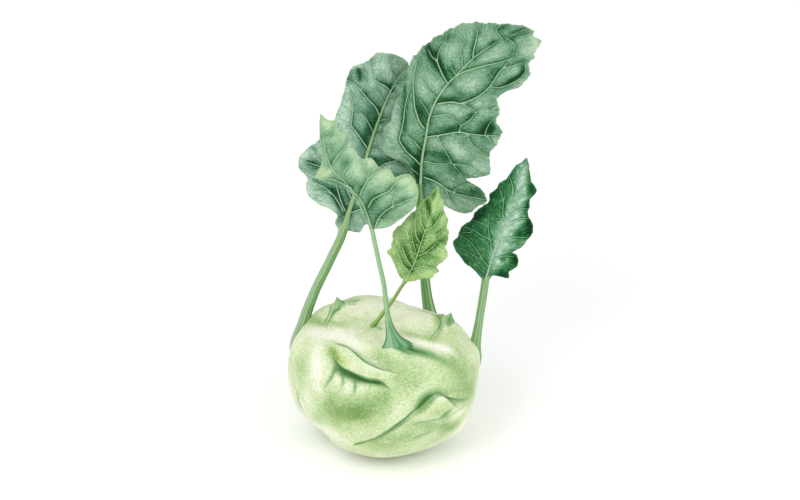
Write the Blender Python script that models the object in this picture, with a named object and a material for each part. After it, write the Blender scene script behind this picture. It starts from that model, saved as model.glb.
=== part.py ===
"""Kohlrabi: a swollen stem with five leaves, standing on the flat spot where its root was cut.

The plant is laid out on a sheet that faces the viewer. The sheet goes through the middle of the
bulb and leans back by SHEET_TILT. A point on it is (across, up, out) in millimetres: to the
viewer's right, up the sheet, and out of it towards the viewer. Leaf outlines and the folds of the
bulb are given there, and place() carries them into the part's own frame, in metres, +Z up, with
the origin in the middle of the flat spot and the viewer on the -Y side.
"""

import math

import bmesh
import bpy
import numpy as np

MM = 0.001
SHEET_TILT = math.radians(30)
SHEET_ACROSS = np.array([1.0, 0.0, 0.0])
SHEET_UP = np.array([0.0, math.sin(SHEET_TILT), math.cos(SHEET_TILT)])
SHEET_OUT = np.array([0.0, -math.cos(SHEET_TILT), math.sin(SHEET_TILT)])

# The bulb, in millimetres: a squashed globe, flatter above its widest level than below it.
BULB_RADIUS = 47.5
CROWN_HEIGHT = 28.0
ROOT_DEPTH = 40.5
CROWN_POWER = 2.5
ROOT_POWER = 2.3
REST_HEIGHT = 39.0
SPHERE_SUBDIVISIONS = 7
BULB_KEPT_SHARE = 0.055
FOLD_STEP = 0.45
FOLD_FADE = 0.25

# The leaves, in millimetres.
BLADE_THICKNESS = 0.9
COLUMN_POWER = 1.6
SLIVER_AREA = 3.0
TIP_NARROWING = 0.7
RUFFLE_SHIFT = 1.3
GAP = 0.35

# Broad swellings and hollows of the bulb as the viewer sees them:
# (across, up, half width, half height, rise).
SWELLINGS = [
    (-12.0, -15.0, 14.0, 10.0, 2.4),
    (-10.0, 13.5, 18.0, 5.0, 1.3),
    (-22.0, 23.0, 16.0, 3.5, -1.0),
    (14.0, 19.0, 15.0, 3.5, -0.9),
    (24.0, 3.0, 15.0, 10.0, 1.3),
    (-40.0, 6.0, 7.0, 10.0, 0.9),
    (26.0, -29.0, 15.0, 8.0, -1.2),
    (-33.0, -30.0, 12.0, 8.0, -1.4),
    (10.0, 26.0, 12.0, 6.0, 0.8),
]

# Folds of the bulb's skin, left where old leaves grew. Each is a line on the sheet, with the rise
# and the reach of the skin on the left of the line and on its right, going along it.
LID_TOP = [(-28, 14.8), (-18.5, 11), (-12.8, 6.5), (-6.8, 2.4), (2, -0.9), (10.8, -1.7)]
LID_EDGE = [(-27, 9.6), (-23.6, 3.3), (-16.6, -1.8), (-8, -4.7), (-1, -6.3), (3.8, -10.8)]
EYE_FOLDS = {
    "lid_top": (LID_TOP, -2.0, 4.5, 1.6, 4.0),
    "lid_edge": (LID_EDGE, 2.0, 4.0, -3.2, 3.5),
    "outer_crow_line": ([(-25.3, -1.2), (-31.3, -10.7)], -0.8, 1.4, -0.8, 1.4),
    "middle_crow_line": ([(-19.5, -3.7), (-21.7, -10.4)], -0.9, 1.3, -0.9, 1.3),
    "inner_crow_line": ([(-14, -6.6), (-14.6, -12.3)], -0.7, 1.2, -0.7, 1.2),
}
FLAP_FOLDS = {
    "crease": ([(-14.8, -37.4), (-4.5, -34), (6.2, -27.8), (14, -22.6), (19.6, -19.8)], 1.0, 5.0, -2.0, 3.5),
    "lip": ([(12, -26), (20, -20), (25, -14.6), (28.5, -13), (33, -15.4), (38.3, -19)], -2.6, 4.5, 1.7, 5.0),
    "side_crease": ([(31, -14), (37.5, -14.9), (45, -13.6)], 0.6, 4.0, -1.6, 3.0),
    "lip_foot": ([(13, -26.4), (22, -27.6), (28, -27), (31.6, -22.8), (37, -20.2)], -0.8, 1.8, -0.8, 1.8),
    "ridge": ([(24, -30.5), (32, -26), (38.8, -22), (44, -16.5)], 0.9, 2.2, 0.9, 2.2),
    "groove": ([(41, -23.3), (32, -30.5), (23, -32.6), (8, -36)], -0.7, 2.0, -0.7, 2.0),
}
SHOULDER_FOLDS = {
    "shoulder": ([(26.7, 28.5), (29.5, 23.4), (26.7, 18.3), (22.8, 13)], -1.2, 2.5, 1.1, 4.0),
    "left_wing": ([(-23, 31), (-26, 26.4), (-28, 21)], 1.2, 1.5, 1.2, 1.5),
    "right_wing": ([(-19, 32), (-14.6, 33.6), (-7.6, 34.4)], 0.9, 1.3, 0.9, 1.3),
    "left_nick": ([(-44.6, -10.2), (-43.3, -16), (-41.5, -21.7)], 0.4, 1.5, -0.9, 1.5),
}

# Where each group of folds is: the folds, then how far its own sheet is turned round the bulb
# and tilted, in degrees. The first three face the viewer, and the others are on the far side.
FOLD_GROUPS = [
    (EYE_FOLDS, 0, 30),
    (FLAP_FOLDS, 0, 30),
    (SHOULDER_FOLDS, 0, 30),
    (EYE_FOLDS, 140, 8),
    (FLAP_FOLDS, 190, 5),
]

# Bosses under the leaf stalks, the stubs of cut ones, and the high and low spots of the bulb's rim,
# each round a point of the bulb's own frame, measured from the middle of its widest level:
# (x, y, z, radius, rise, sharpness). A sharp one is a cone, and a blunt one a mound or a dip.
BOSSES = [
    (-22.0, 19.5, 24.5, 3.6, 4.8, 1.0),
    (-22.0, 19.5, 24.5, 9.0, 1.2, 2.0),
    (31.0, 7.0, 22.6, 11.0, 2.6, 1.4),
    (31.3, 7.5, 22.8, 3.3, 4.4, 1.0),
    (23.0, 40.0, 8.0, 9.0, 1.5, 2.0),
    (-44.0, 16.0, 3.5, 10.0, 1.5, 2.0),
    (46.5, 8.0, 5.8, 9.0, 1.0, 2.0),
    (4.5, -22.0, 26.5, 9.0, 1.6, 2.0),
    (-6.0, -3.0, 28.0, 5.0, 1.0, 2.0),
    (19.0, 31.0, 21.0, 20.0, -4.4, 2.0),
    (30.0, 24.0, 19.0, 12.0, -1.2, 2.0),
    (42.0, 12.0, 14.5, 12.0, -2.4, 2.0),
    (-31.0, 26.0, 18.0, 12.0, 2.0, 2.0),
    (-13.0, 34.0, 21.0, 14.0, 1.6, 2.0),
    (-33.0, -18.0, -27.0, 16.0, -3.4, 2.0),
    (-47.0, -6.0, -2.0, 18.0, 0.6, 2.0),
    (39.0, -13.0, -27.7, 14.0, 1.8, 2.0),
]

# The leaves. spine is the stalk and then the midrib, as (across, up, out); the blade begins at its
# point blade_from. left and right are the margins, as (share, across, up): the share of the midrib
# at which a row of the blade leaves it, and the point of the margin that this row runs to. rise
# and curl are how steeply the left and right halves come forward from the midrib, and how that
# changes towards the margin. ruffle is the height and the number of the margin's waves.
LEAVES = {
    "large_leaf": {
        "spine": [
            (24, 17, -25), (23, 27, -30), (21.5, 36, -29), (20.2, 48, -26), (19, 62, -21), (18.4, 74, -17),
            (18.4, 83.5, -14.5), (18.4, 92, -12), (19, 105, -8.5), (20.7, 115, -6), (22.6, 126, -3.5),
            (26.2, 134.5, -1.5), (31.8, 142.4, 0), (37, 147.6, 1), (44.9, 155.5, 2), (52.7, 161, 2),
            (59.9, 165.3, 1), (68.4, 167.5, -1.5), (74.3, 169.2, -4),
        ],
        "blade_from": 6,
        "left": [
            (0, 16.4, 83.5), (0.05, 16.2, 88.5), (0.09, 15.8, 94), (0.11, 13, 100.5), (0.13, 8, 104.3),
            (0.15, 2, 107), (0.175, -2.5, 111.4), (0.205, -1, 116.8), (0.235, 0.4, 120.5), (0.265, 3.6, 125),
            (0.3, 5, 131.5), (0.34, 9, 139), (0.39, 11.5, 148), (0.44, 13.6, 154.3), (0.49, 18.5, 160.3),
            (0.54, 24.6, 165.2), (0.6, 31, 169), (0.66, 38.1, 172.4), (0.72, 44.5, 173.3), (0.79, 55, 172.8),
            (0.87, 65, 172.3), (0.94, 71, 171.3), (1, 73.6, 169.9),
        ],
        "right": [
            (0, 20.4, 83.2), (0.02, 21.8, 84.9), (0.035, 24.2, 85), (0.05, 29, 83), (0.075, 35.5, 79.2),
            (0.1, 42, 78), (0.12, 47.5, 81.5), (0.14, 51.7, 84.9), (0.155, 48, 90.5), (0.17, 41.5, 94.6),
            (0.185, 46, 95.8), (0.205, 52, 97), (0.225, 53.4, 101.5), (0.245, 52.6, 106.5),
            (0.267, 56, 112), (0.29, 58.8, 117), (0.32, 57.8, 121.5), (0.345, 56, 124.7),
            (0.375, 58.3, 129), (0.405, 56.4, 133.8), (0.44, 60, 138.3), (0.49, 68, 141.3), (0.54, 73, 147.5),
            (0.6, 72.6, 153), (0.68, 75.6, 157), (0.78, 78.6, 163), (0.9, 76.8, 166.8), (1, 75.2, 168.9),
        ],
        "rise": (0.45, 0.12),
        "curl": (-0.75, -0.2),
        "ruffle": (2.2, 5.5),
        "stalk_half_width": (3.4, 2.2, 1.5),
        "flare_reach": 6.0,
        "rows": 27,
        "stalk_rings": 8,
        "half_columns": 6,
    },
    "left_leaf": {
        "spine": [
            (-40.5, 2, -9), (-42.8, 12, -12), (-40.5, 22.6, -12), (-34.9, 38.3, -12), (-27.3, 54, -12.5),
            (-20.3, 69.5, -13.5), (-18.1, 77.3, -14), (-15, 86.7, -15), (-11.5, 97.5, -16.5),
            (-8.8, 106.5, -18), (-5.6, 116.7, -19.5), (-2.4, 125.6, -20.5), (0.9, 134, -21.5),
            (6, 144, -23.5), (12.3, 152.4, -26.5),
        ],
        "blade_from": 5,
        "left": [
            (0, -23, 69.6), (0.03, -24.6, 73.5), (0.06, -23.4, 77), (0.09, -27, 79.9), (0.125, -33, 82.6),
            (0.155, -37.6, 86.5), (0.185, -39.2, 91.2), (0.21, -38.4, 95.5), (0.235, -42.4, 100.2),
            (0.265, -42.7, 105), (0.3, -39.5, 109.5), (0.345, -34.5, 113.2), (0.39, -30, 118),
            (0.435, -26, 123.5), (0.48, -23, 130), (0.53, -20.4, 138), (0.58, -18.2, 147),
            (0.64, -14.8, 151.9), (0.7, -9.2, 153.8), (0.77, -3.8, 158.2), (0.84, 2.5, 158.2),
            (0.92, 8.6, 156.4), (1, 12.1, 153.6),
        ],
        "right": [
            (0, -18.2, 69.4), (0.03, -12.4, 68.4), (0.06, -9.5, 72), (0.1, -3, 72.5), (0.15, 6, 74),
            (0.2, 13.5, 79), (0.26, 18.5, 87), (0.32, 20, 96), (0.38, 17.5, 103), (0.44, 18.5, 110),
            (0.51, 15.5, 117), (0.58, 17, 124.5), (0.66, 14, 131), (0.75, 16, 138), (0.84, 14, 144),
            (0.93, 14.5, 149), (1, 12.9, 151.8),
        ],
        "rise": (0.15, -0.1),
        "curl": (-0.1, -0.1),
        "ruffle": (1.8, 5.0),
        "stalk_half_width": (4.6, 2.1, 1.6),
        "flare_reach": 10.0,
        "rows": 25,
        "stalk_rings": 8,
        "half_columns": 6,
    },
    "front_leaf": {
        "spine": [
            (8, 5, 27), (6.1, 12, 32.5), (2.6, 22.6, 35.5), (1.2, 32, 38), (0, 42.2, 41), (-2.6, 54, 44.5),
            (-4.6, 63.3, 47), (-6.1, 70.3, 49), (-8.7, 78.1, 51), (-11.5, 84.4, 52), (-15.8, 89, 53),
            (-20.5, 94.5, 54), (-25.1, 99.2, 55), (-27.9, 104.7, 55.5), (-29.4, 110.9, 55.5),
            (-30.1, 118, 54.5), (-31.1, 126.7, 52),
        ],
        "blade_from": 7,
        "left": [
            (0, -7.4, 70.8), (0.08, -9.3, 75.8), (0.16, -12, 81), (0.22, -14.5, 85.6), (0.27, -18.5, 89.8),
            (0.32, -24.5, 92.8), (0.37, -30.5, 94.3), (0.42, -34.3, 95.5), (0.48, -32.6, 98.6),
            (0.54, -31.2, 101.6), (0.6, -30.8, 105), (0.68, -31.1, 110), (0.76, -31.7, 115),
            (0.85, -31.9, 120.5), (0.93, -31.7, 124.3), (1, -31.4, 126.8),
        ],
        "right": [
            (0, -4.6, 69.9), (0.025, 2, 70.8), (0.06, 8.5, 75), (0.1, 14.2, 79.5), (0.15, 17, 86),
            (0.2, 16, 92.5), (0.245, 12.4, 97.2), (0.28, 8.4, 96.6), (0.31, 5.8, 95.4), (0.345, 3, 99.4),
            (0.39, -2.2, 100.2), (0.43, -6.2, 105.2), (0.47, -10.6, 104.6), (0.52, -14.5, 109),
            (0.57, -17.5, 111.2), (0.62, -16.6, 116.8), (0.67, -19.6, 118.2), (0.72, -22.2, 117.6),
            (0.78, -24, 122.6), (0.86, -27.6, 123.9), (0.94, -29.8, 125.7), (1, -30.8, 126.7),
        ],
        "rise": (-1.3, -0.25),
        "curl": (0.3, -0.1),
        "ruffle": (1.3, 4.0),
        "stalk_half_width": (7.6, 1.15, 1.0),
        "flare_reach": 5.0,
        "rows": 24,
        "stalk_rings": 9,
        "half_columns": 5,
    },
    "young_leaf": {
        "spine": [
            (-10, 15, 12.5), (-6, 21.5, 16.5), (-2.5, 25.2, 18.5), (0.6, 29.5, 20.5), (3.4, 33, 22),
            (8, 40.1, 25), (10.7, 44.3, 27), (12.5, 47.9, 28.5), (14.2, 50.9, 29.8), (16.3, 56.3, 32),
            (18.4, 62.6, 34), (20.2, 68.2, 35.5), (22.6, 74, 36.5), (24.6, 83, 37), (26.5, 91.2, 36),
        ],
        "blade_from": 6,
        "left": [
            (0, 9.7, 45), (0.03, 8, 46.2), (0.06, 6.4, 49.4), (0.1, 5, 53), (0.14, 3.4, 56.2),
            (0.17, 1.6, 58.3), (0.205, 3.6, 60.6), (0.24, 3.6, 62.8), (0.28, 4.6, 65), (0.32, 4.3, 67.5),
            (0.37, 6, 70.6), (0.42, 8.6, 71.9), (0.48, 10.4, 74.7), (0.55, 13.4, 77.4), (0.63, 16.4, 80.2),
            (0.72, 19.3, 83.4), (0.82, 22.4, 86.6), (0.91, 24.4, 88.6), (1, 26, 91),
        ],
        "right": [
            (0, 11.8, 43.8), (0.03, 15.3, 44.2), (0.06, 19.5, 45.4), (0.09, 24, 45.7), (0.115, 25.2, 47.4),
            (0.14, 27.3, 48.9), (0.165, 26.2, 51), (0.2, 29.2, 53.6), (0.24, 31.6, 56.8), (0.275, 31.6, 59),
            (0.31, 30.5, 60.8), (0.36, 31.9, 64.4), (0.42, 32.2, 68.4), (0.48, 31.3, 71), (0.53, 32, 74),
            (0.6, 30.6, 77), (0.67, 29.9, 79.8), (0.75, 29.6, 82.6), (0.84, 28.2, 85.8), (0.92, 27.4, 89.2),
            (1, 27, 91.2),
        ],
        "rise": (0.1, 0.3),
        "curl": (-0.3, -0.35),
        "ruffle": (0.9, 5.0),
        "stalk_half_width": (1.5, 0.85, 0.8),
        "flare_reach": 5.0,
        "rows": 20,
        "stalk_rings": 6,
        "half_columns": 5,
    },
    "right_leaf": {
        "spine": [
            (43.4, -5, -3), (44.9, 7, -4), (46.2, 16, -3), (47.6, 24.5, -1.5), (48.8, 32, 0), (50, 39.5, 2),
            (50.7, 44.3, 3.5), (52.3, 50, 5), (54, 56, 6.5), (56.2, 61.8, 8), (58.9, 70.2, 10),
            (60.9, 76, 11), (63.6, 82.7, 12), (65.8, 90.3, 12.5), (68.3, 97.5, 12), (71, 105.5, 10.5),
        ],
        "blade_from": 6,
        "left": [
            (0, 49.2, 44.6), (0.03, 46.6, 47.8), (0.06, 43.4, 51), (0.09, 40.6, 52.8), (0.12, 38.2, 56),
            (0.15, 35.6, 59.6), (0.18, 34.4, 63.4), (0.21, 36.6, 65.8), (0.245, 37.6, 69), (0.28, 40, 72.2),
            (0.32, 44, 75), (0.36, 45.4, 78.6), (0.41, 49.4, 81.4), (0.455, 52.4, 84), (0.5, 52.7, 87.2),
            (0.55, 56, 90.2), (0.6, 57.6, 92.8), (0.66, 60.8, 95), (0.73, 63.2, 98), (0.81, 65.6, 101.6),
            (0.91, 68.6, 103.2), (1, 70.6, 105.4),
        ],
        "right": [
            (0, 52.4, 44.2), (0.03, 53.4, 45.9), (0.055, 54.8, 46.9), (0.075, 58.2, 46.2),
            (0.095, 62, 45.5), (0.12, 62.6, 48.6),
            (0.145, 66, 51), (0.175, 67.2, 54.4), (0.2, 66.2, 57), (0.225, 64.2, 58.4), (0.25, 68.4, 60.8),
            (0.285, 71, 63.9), (0.32, 73.6, 67), (0.365, 74.5, 72), (0.41, 72.4, 75.4), (0.46, 71.9, 78.5),
            (0.51, 72.6, 81), (0.56, 72.8, 84.6), (0.61, 75.8, 88.2), (0.66, 75.6, 91), (0.72, 73.4, 94),
            (0.79, 73, 97.5), (0.87, 72.4, 101), (0.95, 71.8, 104), (1, 71.4, 105.4),
        ],
        "rise": (0.5, 0.4),
        "curl": (-0.25, -0.15),
        "ruffle": (1.4, 4.5),
        "stalk_half_width": (4.2, 1.75, 1.2),
        "flare_reach": 6.0,
        "rows": 24,
        "stalk_rings": 7,
        "half_columns": 5,
    },
}

# Red, green, blue and roughness.
BULB_FINISH = (0.60, 0.74, 0.40, 0.45)
LEAF_FINISHES = {
    "large_leaf": (0.13, 0.30, 0.17, 0.55),
    "left_leaf": (0.12, 0.29, 0.17, 0.55),
    "front_leaf": (0.25, 0.42, 0.20, 0.55),
    "young_leaf": (0.32, 0.50, 0.14, 0.5),
    "right_leaf": (0.06, 0.22, 0.09, 0.5),
}


def place(points):
    """Points of the sheet, (across, up, out) in millimetres, in the part's frame in metres."""
    axes = np.array([SHEET_ACROSS, SHEET_UP, SHEET_OUT])
    return (np.asarray(points, float) @ axes + [0, 0, REST_HEIGHT]) * MM


def smooth(keys, values, at):
    """A smooth curve through values at the given keys, read at each number of at."""
    keys, values = np.asarray(keys, float), np.asarray(values, float)
    slopes = np.gradient(values, keys, axis=0)
    i = np.clip(np.searchsorted(keys, at, side="right") - 1, 0, len(keys) - 2)
    span = (keys[i + 1] - keys[i])[:, None]
    f = (at - keys[i])[:, None] / span
    start = values[i] * (1 + 2 * f) * (1 - f) ** 2 + slopes[i] * span * f * (1 - f) ** 2
    end = values[i + 1] * f**2 * (3 - 2 * f) + slopes[i + 1] * span * f**2 * (f - 1)
    return start + end


def eased(value, low, high):
    """0 below low, 1 above high, with a soft step between."""
    f = np.clip((value - low) / (high - low), 0, 1)
    return f * f * (3 - 2 * f)


def beside_line(line, across, up):
    """How far each point is to the left of a line of the sheet, and how far along it, from 0 to 1."""
    line = np.asarray(line, float)
    steps = np.diff(line, axis=0)
    lengths = np.linalg.norm(steps, axis=1)
    starts = np.concatenate([[0], np.cumsum(lengths)])
    nearest = np.full(across.shape, np.inf)
    left = np.zeros(across.shape)
    share = np.zeros(across.shape)
    for begin, step, length, passed in zip(line, steps, lengths, starts):
        dx, dy = across - begin[0], up - begin[1]
        f = np.clip((dx * step[0] + dy * step[1]) / length**2, 0, 1)
        distance = np.hypot(dx - f * step[0], dy - f * step[1])
        side = np.sign(step[0] * dy - step[1] * dx)
        closer = distance < nearest
        nearest = np.where(closer, distance, nearest)
        left = np.where(closer, side * distance, left)
        share = np.where(closer, (passed + f * length) / starts[-1], share)
    return left, share


def fold_relief(fold, across, up):
    """The rise of the skin at one fold. Its two sides meet in a step at the line."""
    line, left_rise, left_reach, right_rise, right_reach = fold
    left, share = beside_line(line, across, up)
    on_left = 0.5 + 0.5 * np.tanh(left / FOLD_STEP)
    fades = eased(share, 0, FOLD_FADE) * eased(1 - share, 0, FOLD_FADE)
    distance = np.abs(left)
    left_side = on_left * left_rise * np.exp(-distance / left_reach)
    right_side = (1 - on_left) * right_rise * np.exp(-distance / right_reach)
    return fades * (left_side + right_side)


def bulb_points(directions):
    """Points of the bulb's skin in its own frame, in millimetres, one for each unit direction."""
    sides = np.hypot(directions[:, 0], directions[:, 1])
    height = np.abs(directions[:, 2])
    above = directions[:, 2] > 0
    power = np.where(above, CROWN_POWER, ROOT_POWER)
    size = (sides**power + height**power) ** (-1 / power)
    tall = np.where(above, CROWN_HEIGHT, ROOT_DEPTH)
    scale = np.stack([np.full_like(tall, BULB_RADIUS)] * 2 + [tall], axis=1)
    points = directions * scale * size[:, None]
    normals = points / scale**2
    normals /= np.linalg.norm(normals, axis=1)[:, None]
    rise = np.zeros(len(points))
    facing = eased(normals @ SHEET_OUT, 0.0, 0.3)
    across, up = points @ SHEET_ACROSS, points @ SHEET_UP
    for x, y, wide, tall, height in SWELLINGS:
        rise += facing * height * np.exp(-(((across - x) / wide) ** 2) - ((up - y) / tall) ** 2)
    for folds, turn, tilt in FOLD_GROUPS:
        turn, tilt = math.radians(turn), math.radians(tilt)
        right = np.array([math.cos(turn), math.sin(turn), 0])
        out = np.array([math.sin(turn) * math.cos(tilt), -math.cos(turn) * math.cos(tilt), math.sin(tilt)])
        facing = eased(normals @ out, 0.05, 0.3)
        for fold in folds.values():
            rise += facing * fold_relief(fold, points @ right, points @ np.cross(out, right))
    for x, y, z, radius, height, sharpness in BOSSES:
        distance = np.linalg.norm(points - [x, y, z], axis=1)
        rise += height * np.exp(-((distance / radius) ** sharpness) * 2)
    return points + normals * rise[:, None]


def finish_material(name, finish):
    """A Principled material of one colour."""
    material = bpy.data.materials.new(name)
    material.use_nodes = True
    shader = material.node_tree.nodes["Principled BSDF"]
    shader.inputs["Base Color"].default_value = (*finish[:3], 1)
    shader.inputs["Roughness"].default_value = finish[3]
    shader.inputs["Metallic"].default_value = 0
    return material


def add_mesh_object(name, mesh, collection, finish=None):
    """A new object from a mesh, with its finish if it is one of the part's own pieces."""
    made = bpy.data.objects.new(name, mesh)
    collection.objects.link(made)
    if finish:
        mesh.materials.append(finish_material(name, finish))
        mesh.shade_smooth()
    return made


def make_bulb(collection):
    """The swollen stem: a fine sphere moved to the skin's shape, thinned, and cut flat below."""
    bpy.ops.mesh.primitive_ico_sphere_add(subdivisions=SPHERE_SUBDIVISIONS, radius=1)
    ball = bpy.context.object
    directions = np.array([vertex.co.normalized() for vertex in ball.data.vertices])
    points = (bulb_points(directions) + [0, 0, REST_HEIGHT]) * MM
    ball.data.vertices.foreach_set("co", points.astype(np.float32).ravel())
    thin = ball.modifiers.new("thin", "DECIMATE")
    thin.ratio = BULB_KEPT_SHARE
    bpy.ops.object.modifier_apply(modifier=thin.name)

    shape = bmesh.new()
    shape.from_mesh(ball.data)
    everything = shape.verts[:] + shape.edges[:] + shape.faces[:]
    cut = bmesh.ops.bisect_plane(
        shape, geom=everything, plane_co=(0, 0, 0), plane_no=(0, 0, -1), clear_outer=True
    )
    rim = [edge for edge in cut["geom_cut"] if isinstance(edge, bmesh.types.BMEdge)]
    bmesh.ops.contextual_create(shape, geom=rim)
    bmesh.ops.triangulate(shape, faces=shape.faces[:])
    mesh = bpy.data.meshes.new("bulb")
    shape.to_mesh(mesh)
    shape.free()
    bpy.data.objects.remove(ball)
    return add_mesh_object("bulb", mesh, collection, BULB_FINISH)


def make_bulb_cutter(bulb, collection):
    """The bulb swollen by the gap that is left under the foot of each leaf stalk."""
    mesh = bulb.data.copy()
    mesh.name = "bulb_cutter"
    grown = [vertex.co + vertex.normal * GAP * MM for vertex in mesh.vertices]
    mesh.vertices.foreach_set("co", np.array(grown, np.float32).ravel())
    cutter = add_mesh_object("bulb_cutter", mesh, collection)
    cutter.hide_render = True
    cutter.display_type = "WIRE"
    return cutter


def leaf_grid(leaf):
    """The middle layer of a leaf, from the foot of its stalk to its tip, as rows of points on the
    sheet, with each point's half thickness. The stalk comes out of the bulb at the spine's second
    point, and its foot widens there."""
    spine = np.asarray(leaf["spine"], float)
    lengths = np.concatenate([[0], np.cumsum(np.linalg.norm(np.diff(spine, axis=0), axis=1))])
    blade_start = lengths[leaf["blade_from"]]
    foot, neck, depth = leaf["stalk_half_width"]

    # The blade's rows are closest together where the margins move fastest along the midrib.
    shares = np.linspace(0, 1, 400)
    edges = {side: np.array(leaf[side]) for side in ("left", "right")}
    margins = {side: smooth(edge[:, 0], edge[:, 1:], shares) for side, edge in edges.items()}
    travel = sum(np.linalg.norm(np.diff(margin, axis=0), axis=1) for margin in margins.values())
    travel = np.concatenate([[0], np.cumsum(travel)])
    rows = np.interp(np.linspace(0, travel[-1], leaf["rows"]), travel, shares)

    at_stalk = np.linspace(0, blade_start, leaf["stalk_rings"], endpoint=False)
    at_blade = blade_start + rows * (lengths[-1] - blade_start)
    along = np.concatenate([at_stalk, at_blade])
    middle = smooth(lengths, spine, along)
    heading = np.gradient(middle[:, :2], along, axis=0)
    heading /= np.linalg.norm(heading, axis=1)[:, None]

    columns = np.arange(-leaf["half_columns"], leaf["half_columns"] + 1) / leaf["half_columns"]
    spread = np.sign(columns) * np.abs(columns) ** COLUMN_POWER
    rounded = np.sin(spread * math.pi / 2)
    grid = np.zeros((len(along), len(columns), 3))
    half = np.zeros(grid.shape[:2])
    height, waves = leaf["ruffle"]
    for i, (centre, length) in enumerate(zip(middle, along)):
        in_blade = i >= leaf["stalk_rings"]
        share = rows[i - leaf["stalk_rings"]] if in_blade else 0.0
        flare = math.exp(-max(length - lengths[1], 0) / leaf["flare_reach"])
        width = (neck + (foot - neck) * flare) * (1 - TIP_NARROWING * share)
        deep = depth * (1 + flare / 2) * (1 - TIP_NARROWING * share)
        right_of = np.array([heading[i, 1], -heading[i, 0]])
        for j, value in enumerate(spread):
            side = int(value > 0)
            reach, part = width, abs(rounded[j])
            out_to = centre[:2] + right_of * math.copysign(width, value)
            if in_blade:
                edge = edges["right" if side else "left"]
                out_to = smooth(edge[:, 0], edge[:, 1:], np.array([share]))[0]
                reach = np.linalg.norm(out_to - centre[:2])
                part += (abs(value) - part) * eased(reach / width, 1.0, 4.0)
            grid[i, j, :2] = centre[:2] + (out_to - centre[:2]) * part
            grid[i, j, 2] = centre[2]
            if in_blade:
                wave = math.sin(2 * math.pi * waves * share + RUFFLE_SHIFT * side)
                fade = math.sqrt(math.sin(math.pi * share))
                grid[i, j, 2] += reach * part * (leaf["rise"][side] + leaf["curl"][side] * part)
                grid[i, j, 2] += height * wave * part**2 * fade
            rib = deep * math.sqrt(max(1 - (reach * part / width) ** 2, 0))
            half[i, j] = max(BLADE_THICKNESS / 2, rib)
    return grid, half


def skin_normals(points):
    """The direction out of the layer at each point, from the cells around it. Where the cells
    are slivers, as at the root of a lobe, it leans towards the sheet's own direction."""
    areas = np.cross(np.gradient(points, axis=1), np.gradient(points, axis=0))
    padded = np.pad(areas, ((1, 1), (1, 1), (0, 0)), mode="edge")
    count, across = areas.shape[:2]
    summed = sum(padded[i : i + count, j : j + across] for i in range(3) for j in range(3))
    summed += SHEET_OUT * SLIVER_AREA * MM**2
    return summed / np.linalg.norm(summed, axis=2)[:, :, None]


def make_leaf(name, leaf, cutter, collection):
    """A leaf as one closed skin over its rows, with its foot shaped to the bulb."""
    grid, half = leaf_grid(leaf)
    points = place(grid)
    normals = skin_normals(points)
    front = points + normals * half[:, :, None] * MM
    back = points - normals * half[:, :, None] * MM
    rings = np.concatenate([front, back[:, ::-1]], axis=1)
    count, around = rings.shape[:2]

    faces = []
    for i in range(count - 1):
        for j in range(around):
            a, b = i * around + j, i * around + (j + 1) % around
            c, d = a + around, b + around
            # Both skins of the blade are split along the same diagonal, so they can't cross.
            if j < around // 2:
                faces += [(a, b, d), (a, d, c)]
            else:
                faces += [(a, b, c), (b, d, c)]
    columns = around // 2
    for first, order in ((0, -1), ((count - 1) * around, 1)):
        for j in range(columns - 1):
            a, b = first + j, first + j + 1
            c, d = first + around - 1 - j, first + around - 2 - j
            faces += [(a, b, d)[::order], (a, d, c)[::order]]
    mesh = bpy.data.meshes.new(name)
    mesh.from_pydata(rings.reshape(-1, 3).tolist(), [], faces)
    shape = bmesh.new()
    shape.from_mesh(mesh)
    bmesh.ops.recalc_face_normals(shape, faces=shape.faces[:])
    shape.to_mesh(mesh)
    shape.free()
    made = add_mesh_object(name, mesh, collection, LEAF_FINISHES[name])
    seat = made.modifiers.new("seat_on_bulb", "BOOLEAN")
    seat.operation = "DIFFERENCE"
    seat.object = cutter
    return made


def main():
    for old in list(bpy.data.objects):
        bpy.data.objects.remove(old)
    collection = bpy.data.collections.new("kohlrabi")
    cutters = bpy.data.collections.new("cutters")
    bpy.context.scene.collection.children.link(collection)
    bpy.context.scene.collection.children.link(cutters)
    bulb = make_bulb(collection)
    cutter = make_bulb_cutter(bulb, cutters)
    for name, leaf in LEAVES.items():
        make_leaf(name, leaf, cutter, collection)


main()
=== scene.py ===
# %% [markdown]
# # A kohlrabi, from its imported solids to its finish
# A kohlrabi is a stem that has swollen into a globe. Its leaves sit on long stalks that grow
# straight out of the globe, and where old leaves have gone, folded scars are left in the skin.
# This script loads the plain solids as a fixed frame, makes each grown piece again with its fine
# relief, and paints it with materials made of nodes.

# %% Load the frame
import math

import bpy
import numpy as np
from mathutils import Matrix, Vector


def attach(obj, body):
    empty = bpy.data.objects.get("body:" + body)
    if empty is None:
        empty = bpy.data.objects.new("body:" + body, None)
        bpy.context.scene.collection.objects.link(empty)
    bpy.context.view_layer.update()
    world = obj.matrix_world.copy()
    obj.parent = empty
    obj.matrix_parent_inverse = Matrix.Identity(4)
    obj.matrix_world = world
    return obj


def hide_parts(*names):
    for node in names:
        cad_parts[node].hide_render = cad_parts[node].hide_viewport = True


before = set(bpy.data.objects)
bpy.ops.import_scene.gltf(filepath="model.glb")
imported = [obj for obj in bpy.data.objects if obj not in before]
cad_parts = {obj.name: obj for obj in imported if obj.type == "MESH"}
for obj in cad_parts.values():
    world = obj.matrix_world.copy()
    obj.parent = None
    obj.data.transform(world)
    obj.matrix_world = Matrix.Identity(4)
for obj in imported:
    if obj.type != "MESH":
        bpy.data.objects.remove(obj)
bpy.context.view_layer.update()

print("solids:", sorted(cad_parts))

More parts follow.
